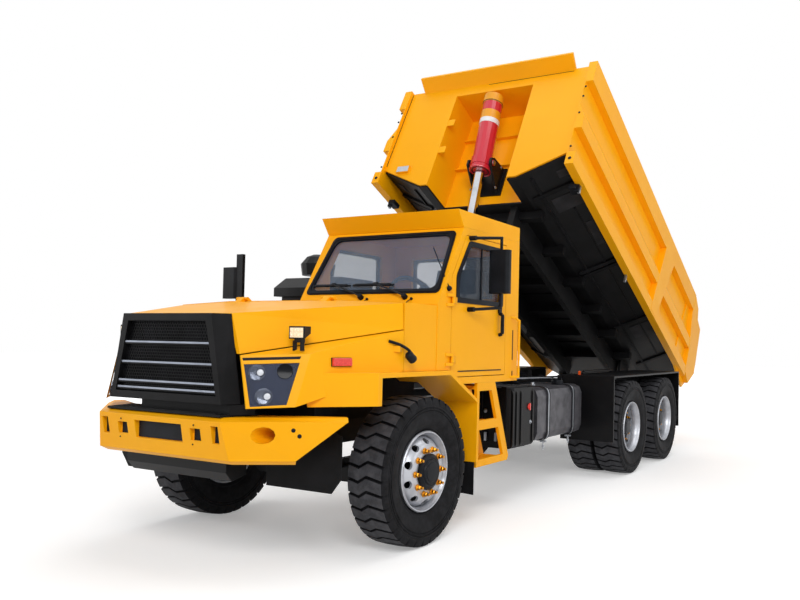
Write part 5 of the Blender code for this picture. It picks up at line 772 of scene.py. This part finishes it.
# Work lamp on the fender, and the marker lamp on its side
LAMP_SPOT = (0.850, -1.062, 1.576)
for word, hand in BOTH_SIDES:
    place = hand(lambda a, b, c: at(LAMP_SPOT[0] + a, LAMP_SPOT[1] + b, LAMP_SPOT[2] + c))
    shell = [place(*p) for p in (
        (-0.068, 0, -0.041), (0.068, 0, -0.041), (0.068, 0, 0.043), (-0.068, 0, 0.043),
        (-0.045, 0.085, -0.004), (0.045, 0.085, -0.004), (0.045, 0.085, 0.043), (-0.045, 0.085, 0.043))]
    piece("work_lamp_shell_" + word, shell, [(0, 1, 2, 3), (4, 5, 6, 7), (0, 1, 5, 4), (1, 2, 6, 5), (2, 3, 7, 6),
                                             (3, 0, 4, 7)], MOULDED, "truck", bevel=3 * MM)
    glass = [brick((-0.056, 0.056), (-0.003, 0.001), (-0.031, 0.033), place)]
    for row in (-0.014, 0.016):
        for column in (-0.042, -0.014, 0.014, 0.042):
            glass.append(lathe([(0, 0.0115), (0.003, 0.0105), (0.006, 0.0070), (0.007, 0.0010)], 14,
                               place(column, -0.003, row), (0, -1, 0)))
    piece("work_lamp_lens_" + word, *merged(*glass), LED, "truck")
    foot = merged(
        brick((-0.030, 0.030), (0.010, 0.048), (-0.064, -0.038), place),
        brick((-0.044, -0.036), (0.012, 0.046), (-0.118, -0.050), place),
        brick((0.020, 0.028), (0.012, 0.046), (-0.118, -0.050), place),
        brick((-0.044, 0.028), (0.012, 0.046), (-0.064, -0.056), place),
    )
    piece("work_lamp_bracket_" + word, *foot, CHASSIS, "truck", bevel=1.5 * MM)
    marker = hand(face(at(1.000, -0.794, 1.386), (0.32, 0.95, 0), (-0.06, 0, 1)))
    piece("marker_lamp_base_" + word, *brick((-0.076, 0.076), (-0.030, 0.030), (-0.004, 0.006), marker), MOULDED,
          "truck", bevel=1.5 * MM)
    piece("marker_lamp_lens_" + word, *brick((-0.073, 0.073), (-0.027, 0.027), (0.005, 0.024), marker), RED_LENS,
          "truck", bevel=5 * MM, segments=3)

# Bumper: dark sheets at the back of its slots, painted shade in its two square pockets, bolts, and the black tread
# plate behind its top edge
DARK_SLOT_BACKS = (((-0.222, 0.222), (0.858, 0.966)), ((0.506, 0.560), (0.869, 0.973)), ((-0.560, -0.506), (0.869, 0.973)))
POCKET_X, POCKET_Z = (0.318, 0.392), (0.872, 0.956)
# The two square pockets take the same dark sheet, as painted shade in their hollows.
DARK_SLOT_BACKS += tuple(((sign * POCKET_X[0], sign * POCKET_X[1]), POCKET_Z) for sign in (1, -1))
piece("bumper_slot_backs_and_pocket_painted_shade", *merged(*[brick(x, (-1.3925, -1.3885), z) for x, z in DARK_SLOT_BACKS]), SEAL, "truck")
SWEPT_OUT = Vector((0.62, -0.78, 0.06)).normalized()
bolts = []
for x, y, z in ((0.936, -1.158, 0.956), (0.968, -1.136, 0.919)):
    for side in (1, -1):
        bolts.append(bolt_head(at(side * x, y, z), sided(side, SWEPT_OUT), 9 * MM))
for x in (-0.354, 0.354):
    for z in (0.852, 0.974):
        bolts.append(bolt_head(at(x, -1.434, z), (0, -1, 0), 4 * MM))
piece("bumper_bolts", *merged(*bolts), SEAL, "truck")
tread = slab(1.032, 1.046, [(-0.62, -1.15), (-0.55, -1.400), (0.55, -1.400), (0.62, -1.15)], "Z")
ribs = [brick((-0.50, 0.50), (y, y + 0.012), (1.045, 1.051)) for y in (-1.385, -1.350, -1.315, -1.280)]
beam = slab(1.040, 1.106, [(-0.30, -1.215), (-0.28, -1.335), (0.56, -1.335), (0.66, -1.215)], "Z")
piece("bumper_tread_plate", *merged(tread, beam, *ribs), TEXTURED, "truck")

# Lamp on its arm at the rear of the left fender
arm_base = slab(-0.022, 0.022, [(-0.045, 0), (0.030, 0), (-0.010, 0.032)], "Y", face(
    at(1.150, -0.355, 1.480), (0.32, 0.95, 0), (0, 0, 1)))
piece("lamp_arm_base", *arm_base, YELLOW, "truck")
tube("lamp_arm", [at(1.125, -0.440, 1.535), at(1.172, -0.372, 1.512), at(1.205, -0.315, 1.478),
                  at(1.222, -0.285, 1.440)], 0.011, MOULDED, "truck", corner=0.03)
arm_lamp = lathe([(-0.012, 0.020), (0.0, 0.030), (0.055, 0.034), (0.064, 0.030), (0.066, 0.004)], 24,
                 at(1.214, -0.322, 1.440), (0.10, 0.55, -0.45))
piece("arm_lamp", *arm_lamp, MOULDED, "truck")

# Cab glazing: seals round each pane
SCREEN = ((-0.195, 1.93), (1.13, 1.93), (1.10, 2.43), (-0.14, 2.43))
SCREEN_FOOT = (0.11, 1.83)
SCREEN_RISE = Vector((0, 0.365, 0.645)).normalized()
screen_face = face(at(0, *SCREEN_FOOT), (1, 0, 0), SCREEN_RISE)
screen_outline = [(x, (z - SCREEN_FOOT[1]) / SCREEN_RISE.z) for x, z in SCREEN]
band("windscreen_seal", screen_outline, (0.016, 0.050), (-0.024, 0.085), -0.012, 0.009, screen_face, SEAL, "truck")
band("windscreen_seal_lip", screen_outline, (0.006, 0.055), (-0.010, 0.070), 0.008, 0.014, screen_face, SEAL, "truck")
DOOR_PANE = ((0.3847, 1.8704), (1.1398, 1.8704), (1.1398, 2.3595), (0.5701, 2.3595), (0.3847, 2.0702))
SIDE_PANE = ((0.450, 1.900), (1.200, 1.900), (1.200, 2.360), (0.580, 2.360), (0.450, 2.140))
REAR_PANE = ((0.000, 1.950), (0.920, 1.950), (0.920, 2.350), (0.000, 2.350))
DOOR_SKIN_X = 1.170
BLIND_WALL_X = -0.250
CAB_REAR_Y = 1.460


def door_face(y, z, out):
    """A place on the door's outer face."""
    return at(DOOR_SKIN_X + out, y, z)


def blind_face(y, z, out):
    """A place on the cab's right wall."""
    return at(BLIND_WALL_X - out, y, z)


def back_face(x, z, out):
    """A place on the cab's rear wall."""
    return at(x, CAB_REAR_Y + out, z)


for name, pane, corner, wall, body in (
        ("door_glass_seal", DOOR_PANE, 0.040, door_face, "door"),
        ("side_glass_seal", SIDE_PANE, 0.040, blind_face, "truck"),
        ("rear_glass_seal", REAR_PANE, 0.050, back_face, "truck")):
    band(name, pane, (0.014, 0.030), (-0.028, corner), -0.012, 0.006, wall, SEAL, body)
piece("door_glass_runner", *brick((0.795, 0.812), (1.890, 2.345), (-0.026, -0.016), door_face), SEAL, "door")

# Wipers and their washer jets
for name, pivot, blade in (("a", 0.404, (-0.145, 0.250)), ("b", 0.840, (0.275, 0.695))):
    meet = pivot - 0.320
    low, high = 0.062, 0.178
    wiper = merged(
        brick((blade[0], blade[1]), (high - 0.006, high + 0.006), (0.006, 0.020), screen_face),
        brick((blade[0] + 0.03, blade[1] - 0.03), (high - 0.009, high + 0.009), (0.020, 0.027), screen_face),
        brick((meet - 0.022, meet + 0.022), (high - 0.013, high + 0.013), (0.024, 0.038), screen_face),
        lathe([(0, 0.024), (0.030, 0.022), (0.040, 0.016), (0.042, 0.002)], 20, screen_face(pivot, low, 0),
              screen_face(0, 0, 1) - screen_face(0, 0, 0)),
    )
    piece("wiper_" + name, *wiper, MOULDED, "truck")
    tube("wiper_arm_" + name, [screen_face(pivot, low, 0.034), screen_face(pivot - 0.09, low + 0.034, 0.040),
                               screen_face(meet, high, 0.034)], 0.007, MOULDED, "truck", flat=(0.010, 0.005))
    jet = screen_face(pivot + 0.068, 0.046, 0)
    piece("washer_jet_" + name, *lathe([(0, 0.011), (0.012, 0.011), (0.018, 0.007), (0.022, 0.002)], 14, jet,
                                       (0, -0.87, 0.49)), MOULDED, "truck")
    hose = [screen_face(pivot + a, b, c)
            for a, b, c in ((0.068, 0.040, 0.010), (0.045, 0.018, 0.014), (0.030, 0.001, 0.006))]
    tube("washer_hose_" + name, hose, 0.004, SEAL, "truck", corner=0.01, sides=6)

# Aerial, mirror glass, door handle and trim strips
aerial = lathe([(0, 0.022), (0.012, 0.022), (0.022, 0.016), (0.030, 0.008)], 20, at(1.170, 0.254, 1.959), (1, 0, 0))
piece("aerial_base", *aerial, MOULDED, "truck")
tube("aerial_rod", [at(1.192, 0.254, 1.955), at(1.170, 0.246, 1.990), at(1.057, 0.200, 2.279)], 0.0042, SEAL,
     "truck", corner=0.01, sides=8)
for word, body, (left, right), (low, high), (front, back) in (
        ("left", "door", (1.236, 1.396), (1.972, 2.305), (0.8700, 0.8735)),
        ("right", "truck", (-1.106, -0.964), (1.905, 2.156), (0.1300, 0.1325))):
    outline = softened([(left, low, 0), (right, low, 0), (right, high, 0), (left, high, 0)], 0.02, cyclic=True)
    piece("mirror_glass_" + word, *slab(front, back, [(p.x, p.y) for p in outline], "Y"), MIRROR, body)
tube("door_handle_grip", [at(1.172, 1.095, 1.612), at(1.205, 1.095, 1.620), at(1.205, 1.095, 1.790),
                          at(1.172, 1.095, 1.798)], 0.0165, MOULDED, "door", corner=0.015)
latch = merged(brick((1.1695, 1.186), (1.070, 1.120), (1.800, 1.872)),
               lathe([(0, 0.010), (0.006, 0.010), (0.008, 0.006)], 14, at(1.186, 1.095, 1.846), (1, 0, 0)))
piece("door_latch", *latch, MOULDED, "door", bevel=2 * MM)
piece("door_drip_strip", *brick((1.1690, 1.1745), (0.420, 1.140), (1.300, 1.309)), SEAL, "door")
strips = [brick((1.1690, 1.1730), (1.352, 1.364), z) for z in ((1.245, 1.290), (1.390, 1.660))]
piece("cab_edge_strips", *merged(*strips), SEAL, "truck")
pins = [lathe([(-0.030, 0.0085), (0.030, 0.0085)], 12, at(1.187, 0.307, z), (0, 0, 1)) for z in (1.40, 1.87)]
piece("door_hinge_pins", *merged(*pins), STEEL, "truck")

# Fuel tank: straps with their linings and bolts, filler cap and level sender
TANK_SECTION = ((0.56, 0.56), (1.10, 0.56), (1.10, 1.10), (0.56, 1.10))


def tank_face(x, z, y):
    """A place on a section across the fuel tank."""
    return at(x, y, z)


strap_tails = []
for name, y in (("front", 2.311), ("rear", 2.949)):
    band("tank_strap_lining_" + name, TANK_SECTION, (0.0085, 0.0985), (0.0050, 0.0950), y - 0.037, y + 0.037,
         tank_face, SEAL, "truck")
    band("tank_strap_" + name, TANK_SECTION, (0.0105, 0.1005), (0.0080, 0.0980), y - 0.011, y + 0.011, tank_face,
         STEEL, "truck")
    strap_tails.append(lathe([(0, 0.008), (0.090, 0.008), (0.092, 0.006)], 12, at(1.05, y, 0.552), (0, 0, -1)))
    strap_tails.append(lathe([(0.050, 0.015), (0.066, 0.015)], 6, at(1.05, y, 0.552), (0, 0, -1)))
    strap_tails.append(brick((1.02, 1.08), (y - 0.020, y + 0.020), (0.535, 0.552)))
piece("tank_strap_bolts", *merged(*strap_tails), STEEL, "truck")
cap = merged(
    lathe([(0, 0.060), (0.006, 0.064), (0.040, 0.064), (0.050, 0.058), (0.053, 0.030), (0.053, 0.002)], 32,
          at(0.94, 2.881, 1.100), (0, 0, 1)),
    brick((0.885, 0.995), (2.868, 2.894), (1.150, 1.172)),
    brick((0.925, 0.955), (2.800, 2.900), (1.152, 1.166)),
)
piece("tank_filler_cap", *cap, MOULDED, "truck", bevel=2 * MM)
sender = lathe([(0, 0.035), (0.010, 0.035), (0.012, 0.020), (0.030, 0.018), (0.032, 0.002)], 24,
               at(0.80, 2.55, 1.100), (0, 0, 1))
piece("tank_level_sender", *sender, STEEL, "truck")

# Battery box fittings
fittings = []
for x, z in ((0.83, 0.90), (0.93, 0.92), (0.88, 0.80)):
    fittings.append(bolt_head(at(x, 1.4885, z), (0, -1, 0), 13 * MM))
for x in (0.84, 0.95):
    fittings.append(brick((x - 0.013, x + 0.013), (1.470, 1.490), (0.62, 0.70)))
fittings.append(bolt_head(at(1.100, 1.90, 0.78), (1, 0, 0), 13 * MM))
piece("battery_box_fittings", *merged(*fittings), STEEL, "truck", bevel=2 * MM)
isolator = merged(
    lathe([(0, 0.024), (0.010, 0.024), (0.012, 0.018)], 20, at(1.1000, 1.86, 0.93), (1, 0, 0)),
    brick((1.1070, 1.1210), (1.852, 1.868), (0.895, 0.965)),
)
# The isolator knob shares the red lamp lens finish, and its faint glow is painted light on a part that is no lamp.
piece("battery_isolator", *isolator, RED_LENS, "truck", bevel=2 * MM)

BOX_SECTION = ((0.62, 0.562), (1.10, 0.562), (1.10, 1.10), (0.62, 1.10))
for label, y in (("1", 1.530), ("2", 1.605), ("3", 1.700), ("4", 1.945)):
    band("battery_cover_rib_" + label, BOX_SECTION, (0.011, 0.060), (-0.001, 0.049), y - 0.016, y + 0.016, tank_face,
         CHASSIS, "truck")

# Lines and hoses along the frame behind the cab
LINES = (
    ("grey_air_line", 0.013, STEEL, ((0.62, 1.55, 1.14), (0.62, 1.90, 1.160), (0.60, 2.55, 1.163),
                                     (0.60, 3.50, 1.145), (0.52, 3.70, 1.110))),
    ("black_air_line", 0.016, MOULDED, ((0.50, 1.50, 1.070), (0.50, 2.20, 1.080), (0.54, 3.60, 1.100),
                                        (0.50, 5.20, 1.080))),
    ("zinc_line", 0.009, STEEL, ((0.66, 1.55, 1.045), (0.62, 2.70, 1.062), (0.60, 3.20, 1.090),
                                 (0.55, 3.60, 1.070))),
    ("black_hose", 0.021, SEAL, ((0.56, 1.48, 1.150), (0.57, 1.80, 1.152), (0.56, 2.50, 1.150), (0.52, 2.80, 1.080),
                                 (0.50, 3.30, 1.050))),
    ("wiring_loom", 0.012, SEAL, ((0.46, 1.50, 1.150), (0.47, 2.05, 1.160), (0.47, 3.30, 1.150), (0.47, 4.90, 1.130),
                                  (0.50, 5.60, 1.090))),
    ("ribbed_sleeve", 0.022, CASTING, ((0.52, 1.60, 1.150), (0.51, 1.95, 1.152), (0.51, 2.30, 1.150),
                                       (0.50, 2.62, 1.110))),
    ("right_air_line", 0.014, MOULDED, ((-0.50, 1.10, 1.070), (-0.52, 2.60, 1.090), (-0.50, 5.20, 1.070))),
    ("right_loom", 0.012, SEAL, ((-0.46, 1.20, 1.120), (-0.47, 3.30, 1.150), (-0.47, 4.90, 1.120))),
)
for name, radius, finish, path in LINES:
    tube(name, [at(*p) for p in path], radius, finish, "truck", corner=0.20)
clips = []
for side in (1, -1):
    for y in (1.95, 2.75, 3.45, 4.35, 5.05):
        clips.append(brick((side * 0.445, side * 0.58), (y - 0.014, y + 0.014), (1.030, 1.062)))
        clips.append(brick((side * 0.445, side * 0.49), (y - 0.014, y + 0.014), (1.050, 1.172)))
piece("line_clips", *merged(*clips), CHASSIS, "truck")
valves = merged(
    brick((0.47, 0.63), (1.66, 1.84), (1.030, 1.175)), brick((0.49, 0.58), (1.70, 1.80), (1.175, 1.205)),
    brick((-0.62, -0.47), (1.30, 1.55), (1.030, 1.180)),
    lathe([(0, 0.035), (0.12, 0.035), (0.125, 0.03)], 20, at(0.60, 1.66, 1.10), (0, -1, 0)),
    lathe([(0, 0.012), (0.05, 0.012)], 10, at(0.55, 1.84, 1.14), (0, 1, 0)),
)
piece("air_valves", *valves, CASTING, "truck", bevel=4 * MM)
guard_bars = merged(
    lathe([(0, 0.020), (0.98, 0.020)], 16, at(0.800, 3.98, 1.212), (0, 1, 0)),
    lathe([(0, 0.010), (0.90, 0.010)], 12, at(0.860, 3.80, 1.201), (0, 1, 0)),
)
piece("mudguard_bars", *guard_bars, CHASSIS, "truck")
piece("orange_marker", *lathe([(0, 0.016), (0.036, 0.016), (0.042, 0.012), (0.044, 0.002)], 18,
                              at(0.905, 3.600, 1.190), (0, 0, 1)), ORANGE, "truck")

# Rubber flaps behind the front wheels; in the arches a lining, an inner apron and a shield ahead of the wheel
for word, hand in BOTH_SIDES:
    place = hand(at)
    flap = slab(0.700, 0.709, [(0.86, 0.600), (1.172, 0.600), (1.172, 0.271), (0.86, 0.285)], "Y", place)
    piece("front_flap_" + word, *flap, FLAP_RUBBER, "truck")
    rivets = [lathe([(0, 0.012), (0.004, 0.012), (0.006, 0.007)], 12, place(x, 0.700, 0.575), (0, -1, 0))
              for x in (0.92, 1.02, 1.12)]
    piece("front_flap_rivets_" + word, *merged(*rivets), STEEL, "truck")
    lining = slab(0.812, 1.150, [(-0.56, 1.290), (0.12, 1.290), (0.12, 1.284), (-0.56, 1.284)], "X", place)
    piece("arch_lining_" + word, *lining, UNDERSEAL, "truck")
    apron = slab(0.556, 0.562, [(-0.88, 0.93), (-0.88, 1.275), (0.69, 1.275), (0.69, 0.93)], "X", place)
    shield = slab(-0.884, -0.878, [(0.44, 0.52), (1.02, 0.52), (1.10, 0.62), (1.10, 0.90), (0.86, 0.98), (0.86, 1.25),
                                   (0.44, 1.25)], "Y", place)
    piece("arch_apron_" + word, *merged(apron, shield), UNDERSEAL, "truck")

# The bed's underside: ribs, stringers and wear pads on its slopes, and the lamps under its front corners
SLOPE_FOOT = (0.620, 1.310)
SLOPE_TOP = (1.198, 1.580)
SLOPE_LONG = math.hypot(SLOPE_TOP[0] - SLOPE_FOOT[0], SLOPE_TOP[1] - SLOPE_FOOT[1])
SLOPE_X = (SLOPE_TOP[0] - SLOPE_FOOT[0]) / SLOPE_LONG
SLOPE_Z = (SLOPE_TOP[1] - SLOPE_FOOT[1]) / SLOPE_LONG


def slope(up, y, out):
    """A place on the slope under the bed, metres up it from the flat floor."""
    return lifted(SLOPE_FOOT[0] + SLOPE_X * up + SLOPE_Z * out, y, SLOPE_FOOT[1] + SLOPE_Z * up - SLOPE_X * out)


RIB_YS = (2.180, 3.700, 3.790, 5.150, 6.300)
PADS = (((0.215, 0.560), (2.300, 2.540)), ((0.240, 0.560), (5.280, 5.600)), ((0.430, 0.520), (2.860, 3.330)),
        ((0.420, 0.540), (1.930, 2.040)))
for word, hand in BOTH_SIDES:
    place = hand(slope)
    ribs = [brick((0.050, 0.600), (y - 0.028, y + 0.028), (-0.002, 0.026), place) for y in RIB_YS]
    piece("slope_ribs_" + word, *merged(*ribs), UNDERSEAL, "bed", bevel=4 * MM)
    stringers = merged(brick((0.135, 0.165), (1.880, 6.700), (-0.002, 0.020), place),
                       brick((0.390, 0.414), (2.560, 6.250), (-0.002, 0.014), place))
    piece("slope_stringers_" + word, *stringers, UNDERSEAL, "bed", bevel=3 * MM)
    pads = [brick(a, y, (-0.002, 0.007), place) for a, y in PADS]
    piece("slope_pads_" + word, *merged(*pads), PAD, "bed", bevel=1.5 * MM)
    low = hand(lifted)
    shell = merged(
        brick((1.140, 1.225), (2.020, 2.140), (1.318, 1.372), low),
        brick((1.190, 1.250), (2.050, 2.075), (1.300, 1.392), low),
    )
    piece("bed_corner_lamp_" + word, *shell, MOULDED, "bed", bevel=6 * MM)
    piece("bed_corner_bracket_" + word, *brick((1.226, 1.256), (2.080, 2.105), (1.300, 1.392), low), STEEL, "bed",
          bevel=2 * MM)
    piece("bed_side_tab_" + word, *brick((1.205, 1.235), (3.855, 3.885), (1.290, 1.392), low), STEEL, "bed",
          bevel=3 * MM)
    seam = merged(
        brick((1.1915, 1.1965), (1.7565, 1.7602), (1.660, 2.800), low),
        *[lathe([(0, 0.013), (0.006, 0.012), (0.009, 0.006)], 12, low(1.226, 1.7102, z),
                low(0, 0, z) - low(0, 1, z)) for z in (2.46, 2.32, 2.085, 1.62)],
        lathe([(0, 0.019), (0.004, 0.019), (0.005, 0.012)], 16, low(1.247, 1.7102, 1.46),
              low(0, 0, 1) - low(0, 1, 1)),
    )
    piece("bed_front_seam_" + word, *seam, SEAL, "bed")
cross_lines = [brick((-0.340, 0.340), (y - 0.006, y + 0.006), (1.296, 1.3102), lifted) for y in
               (2.75, 3.45, 4.15, 4.85, 5.55)]
piece("floor_weld_strips", *merged(*cross_lines), UNDERSEAL, "bed")
# A thin dark strip along the gap under the front lip is painted shade.
piece("header_gap_painted_shade", *brick((-0.100, 1.000), (1.7572, 1.7602), (2.7830, 2.7870), lifted), SEAL, "bed")
piece("blank_plate", *brick((-0.995, -0.835), (1.7275, 1.7305), (1.537, 1.613), lifted), PALE_PLATE, "bed",
      bevel=1 * MM)

# Hoist: painted bands, the seal round the first stage, and the trunnion's end caps
HOIST_TOP = lifted(0, 1.950, 1.720)
HOIST_EYE = at(0, 1.865, 0.860)
HOIST_AXIS = (HOIST_EYE - HOIST_TOP).normalized()
# Sections of the rings on the barrel, as (metres below the trunnion, radius)
HOIST_RINGS = (
    ("cap_band", BAND_YELLOW, ((-0.9022, 0.0020), (-0.9022, 0.1050), (-0.8880, 0.1200), (-0.8000, 0.1200),
                               (-0.7850, 0.1165), (-0.7850, 0.1125), (-0.8985, 0.1125), (-0.8985, 0.0020))),
    ("cap_wire", SEAL, ((-0.7990, 0.1190), (-0.7960, 0.1215), (-0.7920, 0.1215), (-0.7890, 0.1170),
                        (-0.7940, 0.1150))),
    ("yellow_band", BAND_YELLOW, ((-0.6700, 0.1125), (-0.6700, 0.1162), (-0.5650, 0.1162), (-0.5650, 0.1125))),
    ("white_band", BAND_WHITE, ((-0.5650, 0.1125), (-0.5650, 0.1165), (-0.5050, 0.1165), (-0.5050, 0.1125))),
    ("low_seal", SEAL, ((0.0880, 0.1000), (0.0925, 0.1030), (0.0935, 0.0980), (0.0930, 0.0900), (0.0880, 0.0900))),
    ("collar_lip", HOIST_RED, ((0.0800, 0.1270), (0.0860, 0.1300), (0.0930, 0.1290), (0.0950, 0.1200),
                               (0.0900, 0.1120), (0.0800, 0.1120))),
)
for name, finish, section in HOIST_RINGS:
    piece("hoist_" + name, *lathe(section, 40, HOIST_TOP, HOIST_AXIS, closed=True), finish, "hoist_barrel")
TRUNNION_END = ((0.164, 0.030), (0.172, 0.030), (0.176, 0.022), (0.178, 0.004))
ends = [lathe(TRUNNION_END, 24, HOIST_TOP, (side, 0, 0)) for side in (1, -1)]
piece("trunnion_end_caps", *merged(*ends), STEEL, "hoist_barrel")
heads = [bolt_head(lifted(side * 0.1601, 2.120, z), (side, 0, 0), 12 * MM)
         for side in (1, -1) for z in (1.790, 1.500)]
piece("trunnion_bolts", *merged(*heads), STEEL, "bed")

# Camera, fitted to the photograph
FOCAL_PX = 762.73
PHOTO = (800, 600)
CENTRE_PX = (513.5, 327.3)
SENSOR = 36.0
YAW, PITCH, ROLL = math.radians(27.53), math.radians(1.34), math.radians(1.175)
EYE = (4.393, -4.810, 1.524)
view = bpy.data.cameras.new("camera")
view.sensor_width = SENSOR
view.lens = FOCAL_PX * SENSOR / PHOTO[0]
view.shift_x = -(CENTRE_PX[0] - PHOTO[0] / 2) / PHOTO[0]
view.shift_y = (CENTRE_PX[1] - PHOTO[1] / 2) / PHOTO[0]
camera = bpy.data.objects.new("camera", view)
bpy.context.scene.collection.objects.link(camera)
camera.matrix_world = Matrix.Translation(at(*EYE)) @ (
    Matrix.Rotation(YAW, 4, "Z") @ Matrix.Rotation(math.pi / 2 + PITCH, 4, "X") @ Matrix.Rotation(ROLL, 4, "Z"))
bpy.context.scene.camera = camera


def soft_box(name, place, aim, size, watts):
    """A studio soft box at a place, turned to what it lights."""
    data = bpy.data.lights.new(name, "AREA")
    data.shape = "RECTANGLE"
    data.size, data.size_y = size
    data.energy = watts
    lamp = bpy.data.objects.new(name, data)
    bpy.context.scene.collection.objects.link(lamp)
    lamp.location = at(*place)
    lamp.rotation_euler = (at(*aim) - at(*place)).to_track_quat("-Z", "Y").to_euler()


soft_box("key", (7.5, -9.0, 8.5), (0, 1.5, 1.5), (6, 5), 1010)
soft_box("fill", (-9.0, -6.0, 5.0), (0, 2.0, 1.5), (7, 5), 260)
soft_box("overhead", (1.0, 3.0, 11.0), (0, 3.0, 1.0), (9, 12), 540)
soft_box("side", (11.0, 5.0, 5.0), (0, 4.0, 1.5), (8, 5), 250)
soft_box("rear", (-4.0, 15.0, 8.0), (0, 4.0, 1.5), (8, 5), 420)

def seen_rays(tree):
    """1 for what is seen, by the camera itself or in glass and metal, and 0 for the light that falls."""
    rays = add(tree, "LightPath")
    seen = add(tree, "Math", links={0: rays.outputs["Is Camera Ray"], 1: rays.outputs["Is Transmission Ray"]},
               operation="MAXIMUM")
    seen = add(tree, "Math", links={0: seen.outputs["Value"], 1: rays.outputs["Is Glossy Ray"]}, operation="MAXIMUM")
    return seen.outputs["Value"]


# White surroundings for what the camera, glass and metal see, and a dimmer sky for the light
AMBIENT = 0.20
world = bpy.data.worlds.new("studio")
bpy.context.scene.world = world
world.use_nodes = True
tree = world.node_tree
bright = add(tree, "MapRange", {"To Min": AMBIENT, "To Max": 1.0}, {"Value": seen_rays(tree)})
tree.links.new(bright.outputs["Result"], tree.nodes["Background"].inputs["Strength"])
tree.nodes["Background"].inputs["Color"].default_value = (1, 1, 1, 1)

# Pale studio floor: it keeps the truck's shadow and runs out to the white of the surroundings
FLOOR_HALF = 60.0
NEAR_R, FAR_R = 6.0, 13.0
NEAR_GLOW = 0.30
floor_mesh = bpy.data.meshes.new("floor")
floor_mesh.from_pydata([(-FLOOR_HALF, -FLOOR_HALF, 0), (FLOOR_HALF, -FLOOR_HALF, 0), (FLOOR_HALF, FLOOR_HALF, 0),
                        (-FLOOR_HALF, FLOOR_HALF, 0)], [], [(0, 1, 2, 3)])
floor = bpy.data.objects.new("floor", floor_mesh)
bpy.context.scene.collection.objects.link(floor)
floor.location.z = -1 * MM
painted, tree, shader, place = surface("pale_studio_floor", "none", roughness=0.9)
grain = add(tree, "TexNoise", {"Scale": 0.8, "Detail": 2.0}, {"Vector": place})
tree.links.new(mottled(tree, grain.outputs["Fac"], linear("F2F2F2"), linear("F8F8F8"), 0.3, 0.7),
               shader.inputs["Base Color"])
reach = add(tree, "VectorMath", links={0: place}, operation="LENGTH")
spread = add(tree, "MapRange", {"From Min": NEAR_R, "From Max": FAR_R, "To Min": NEAR_GLOW, "To Max": 1.0},
             {"Value": reach.outputs["Value"]})
glow = add(tree, "Math", links={0: seen_rays(tree), 1: spread.outputs["Result"]}, operation="MULTIPLY")
shader.inputs["Emission Color"].default_value = (1, 1, 1, 1)
tree.links.new(glow.outputs["Value"], shader.inputs["Emission Strength"])
floor_mesh.materials.append(painted)

bpy.context.scene.view_settings.view_transform = "Standard"
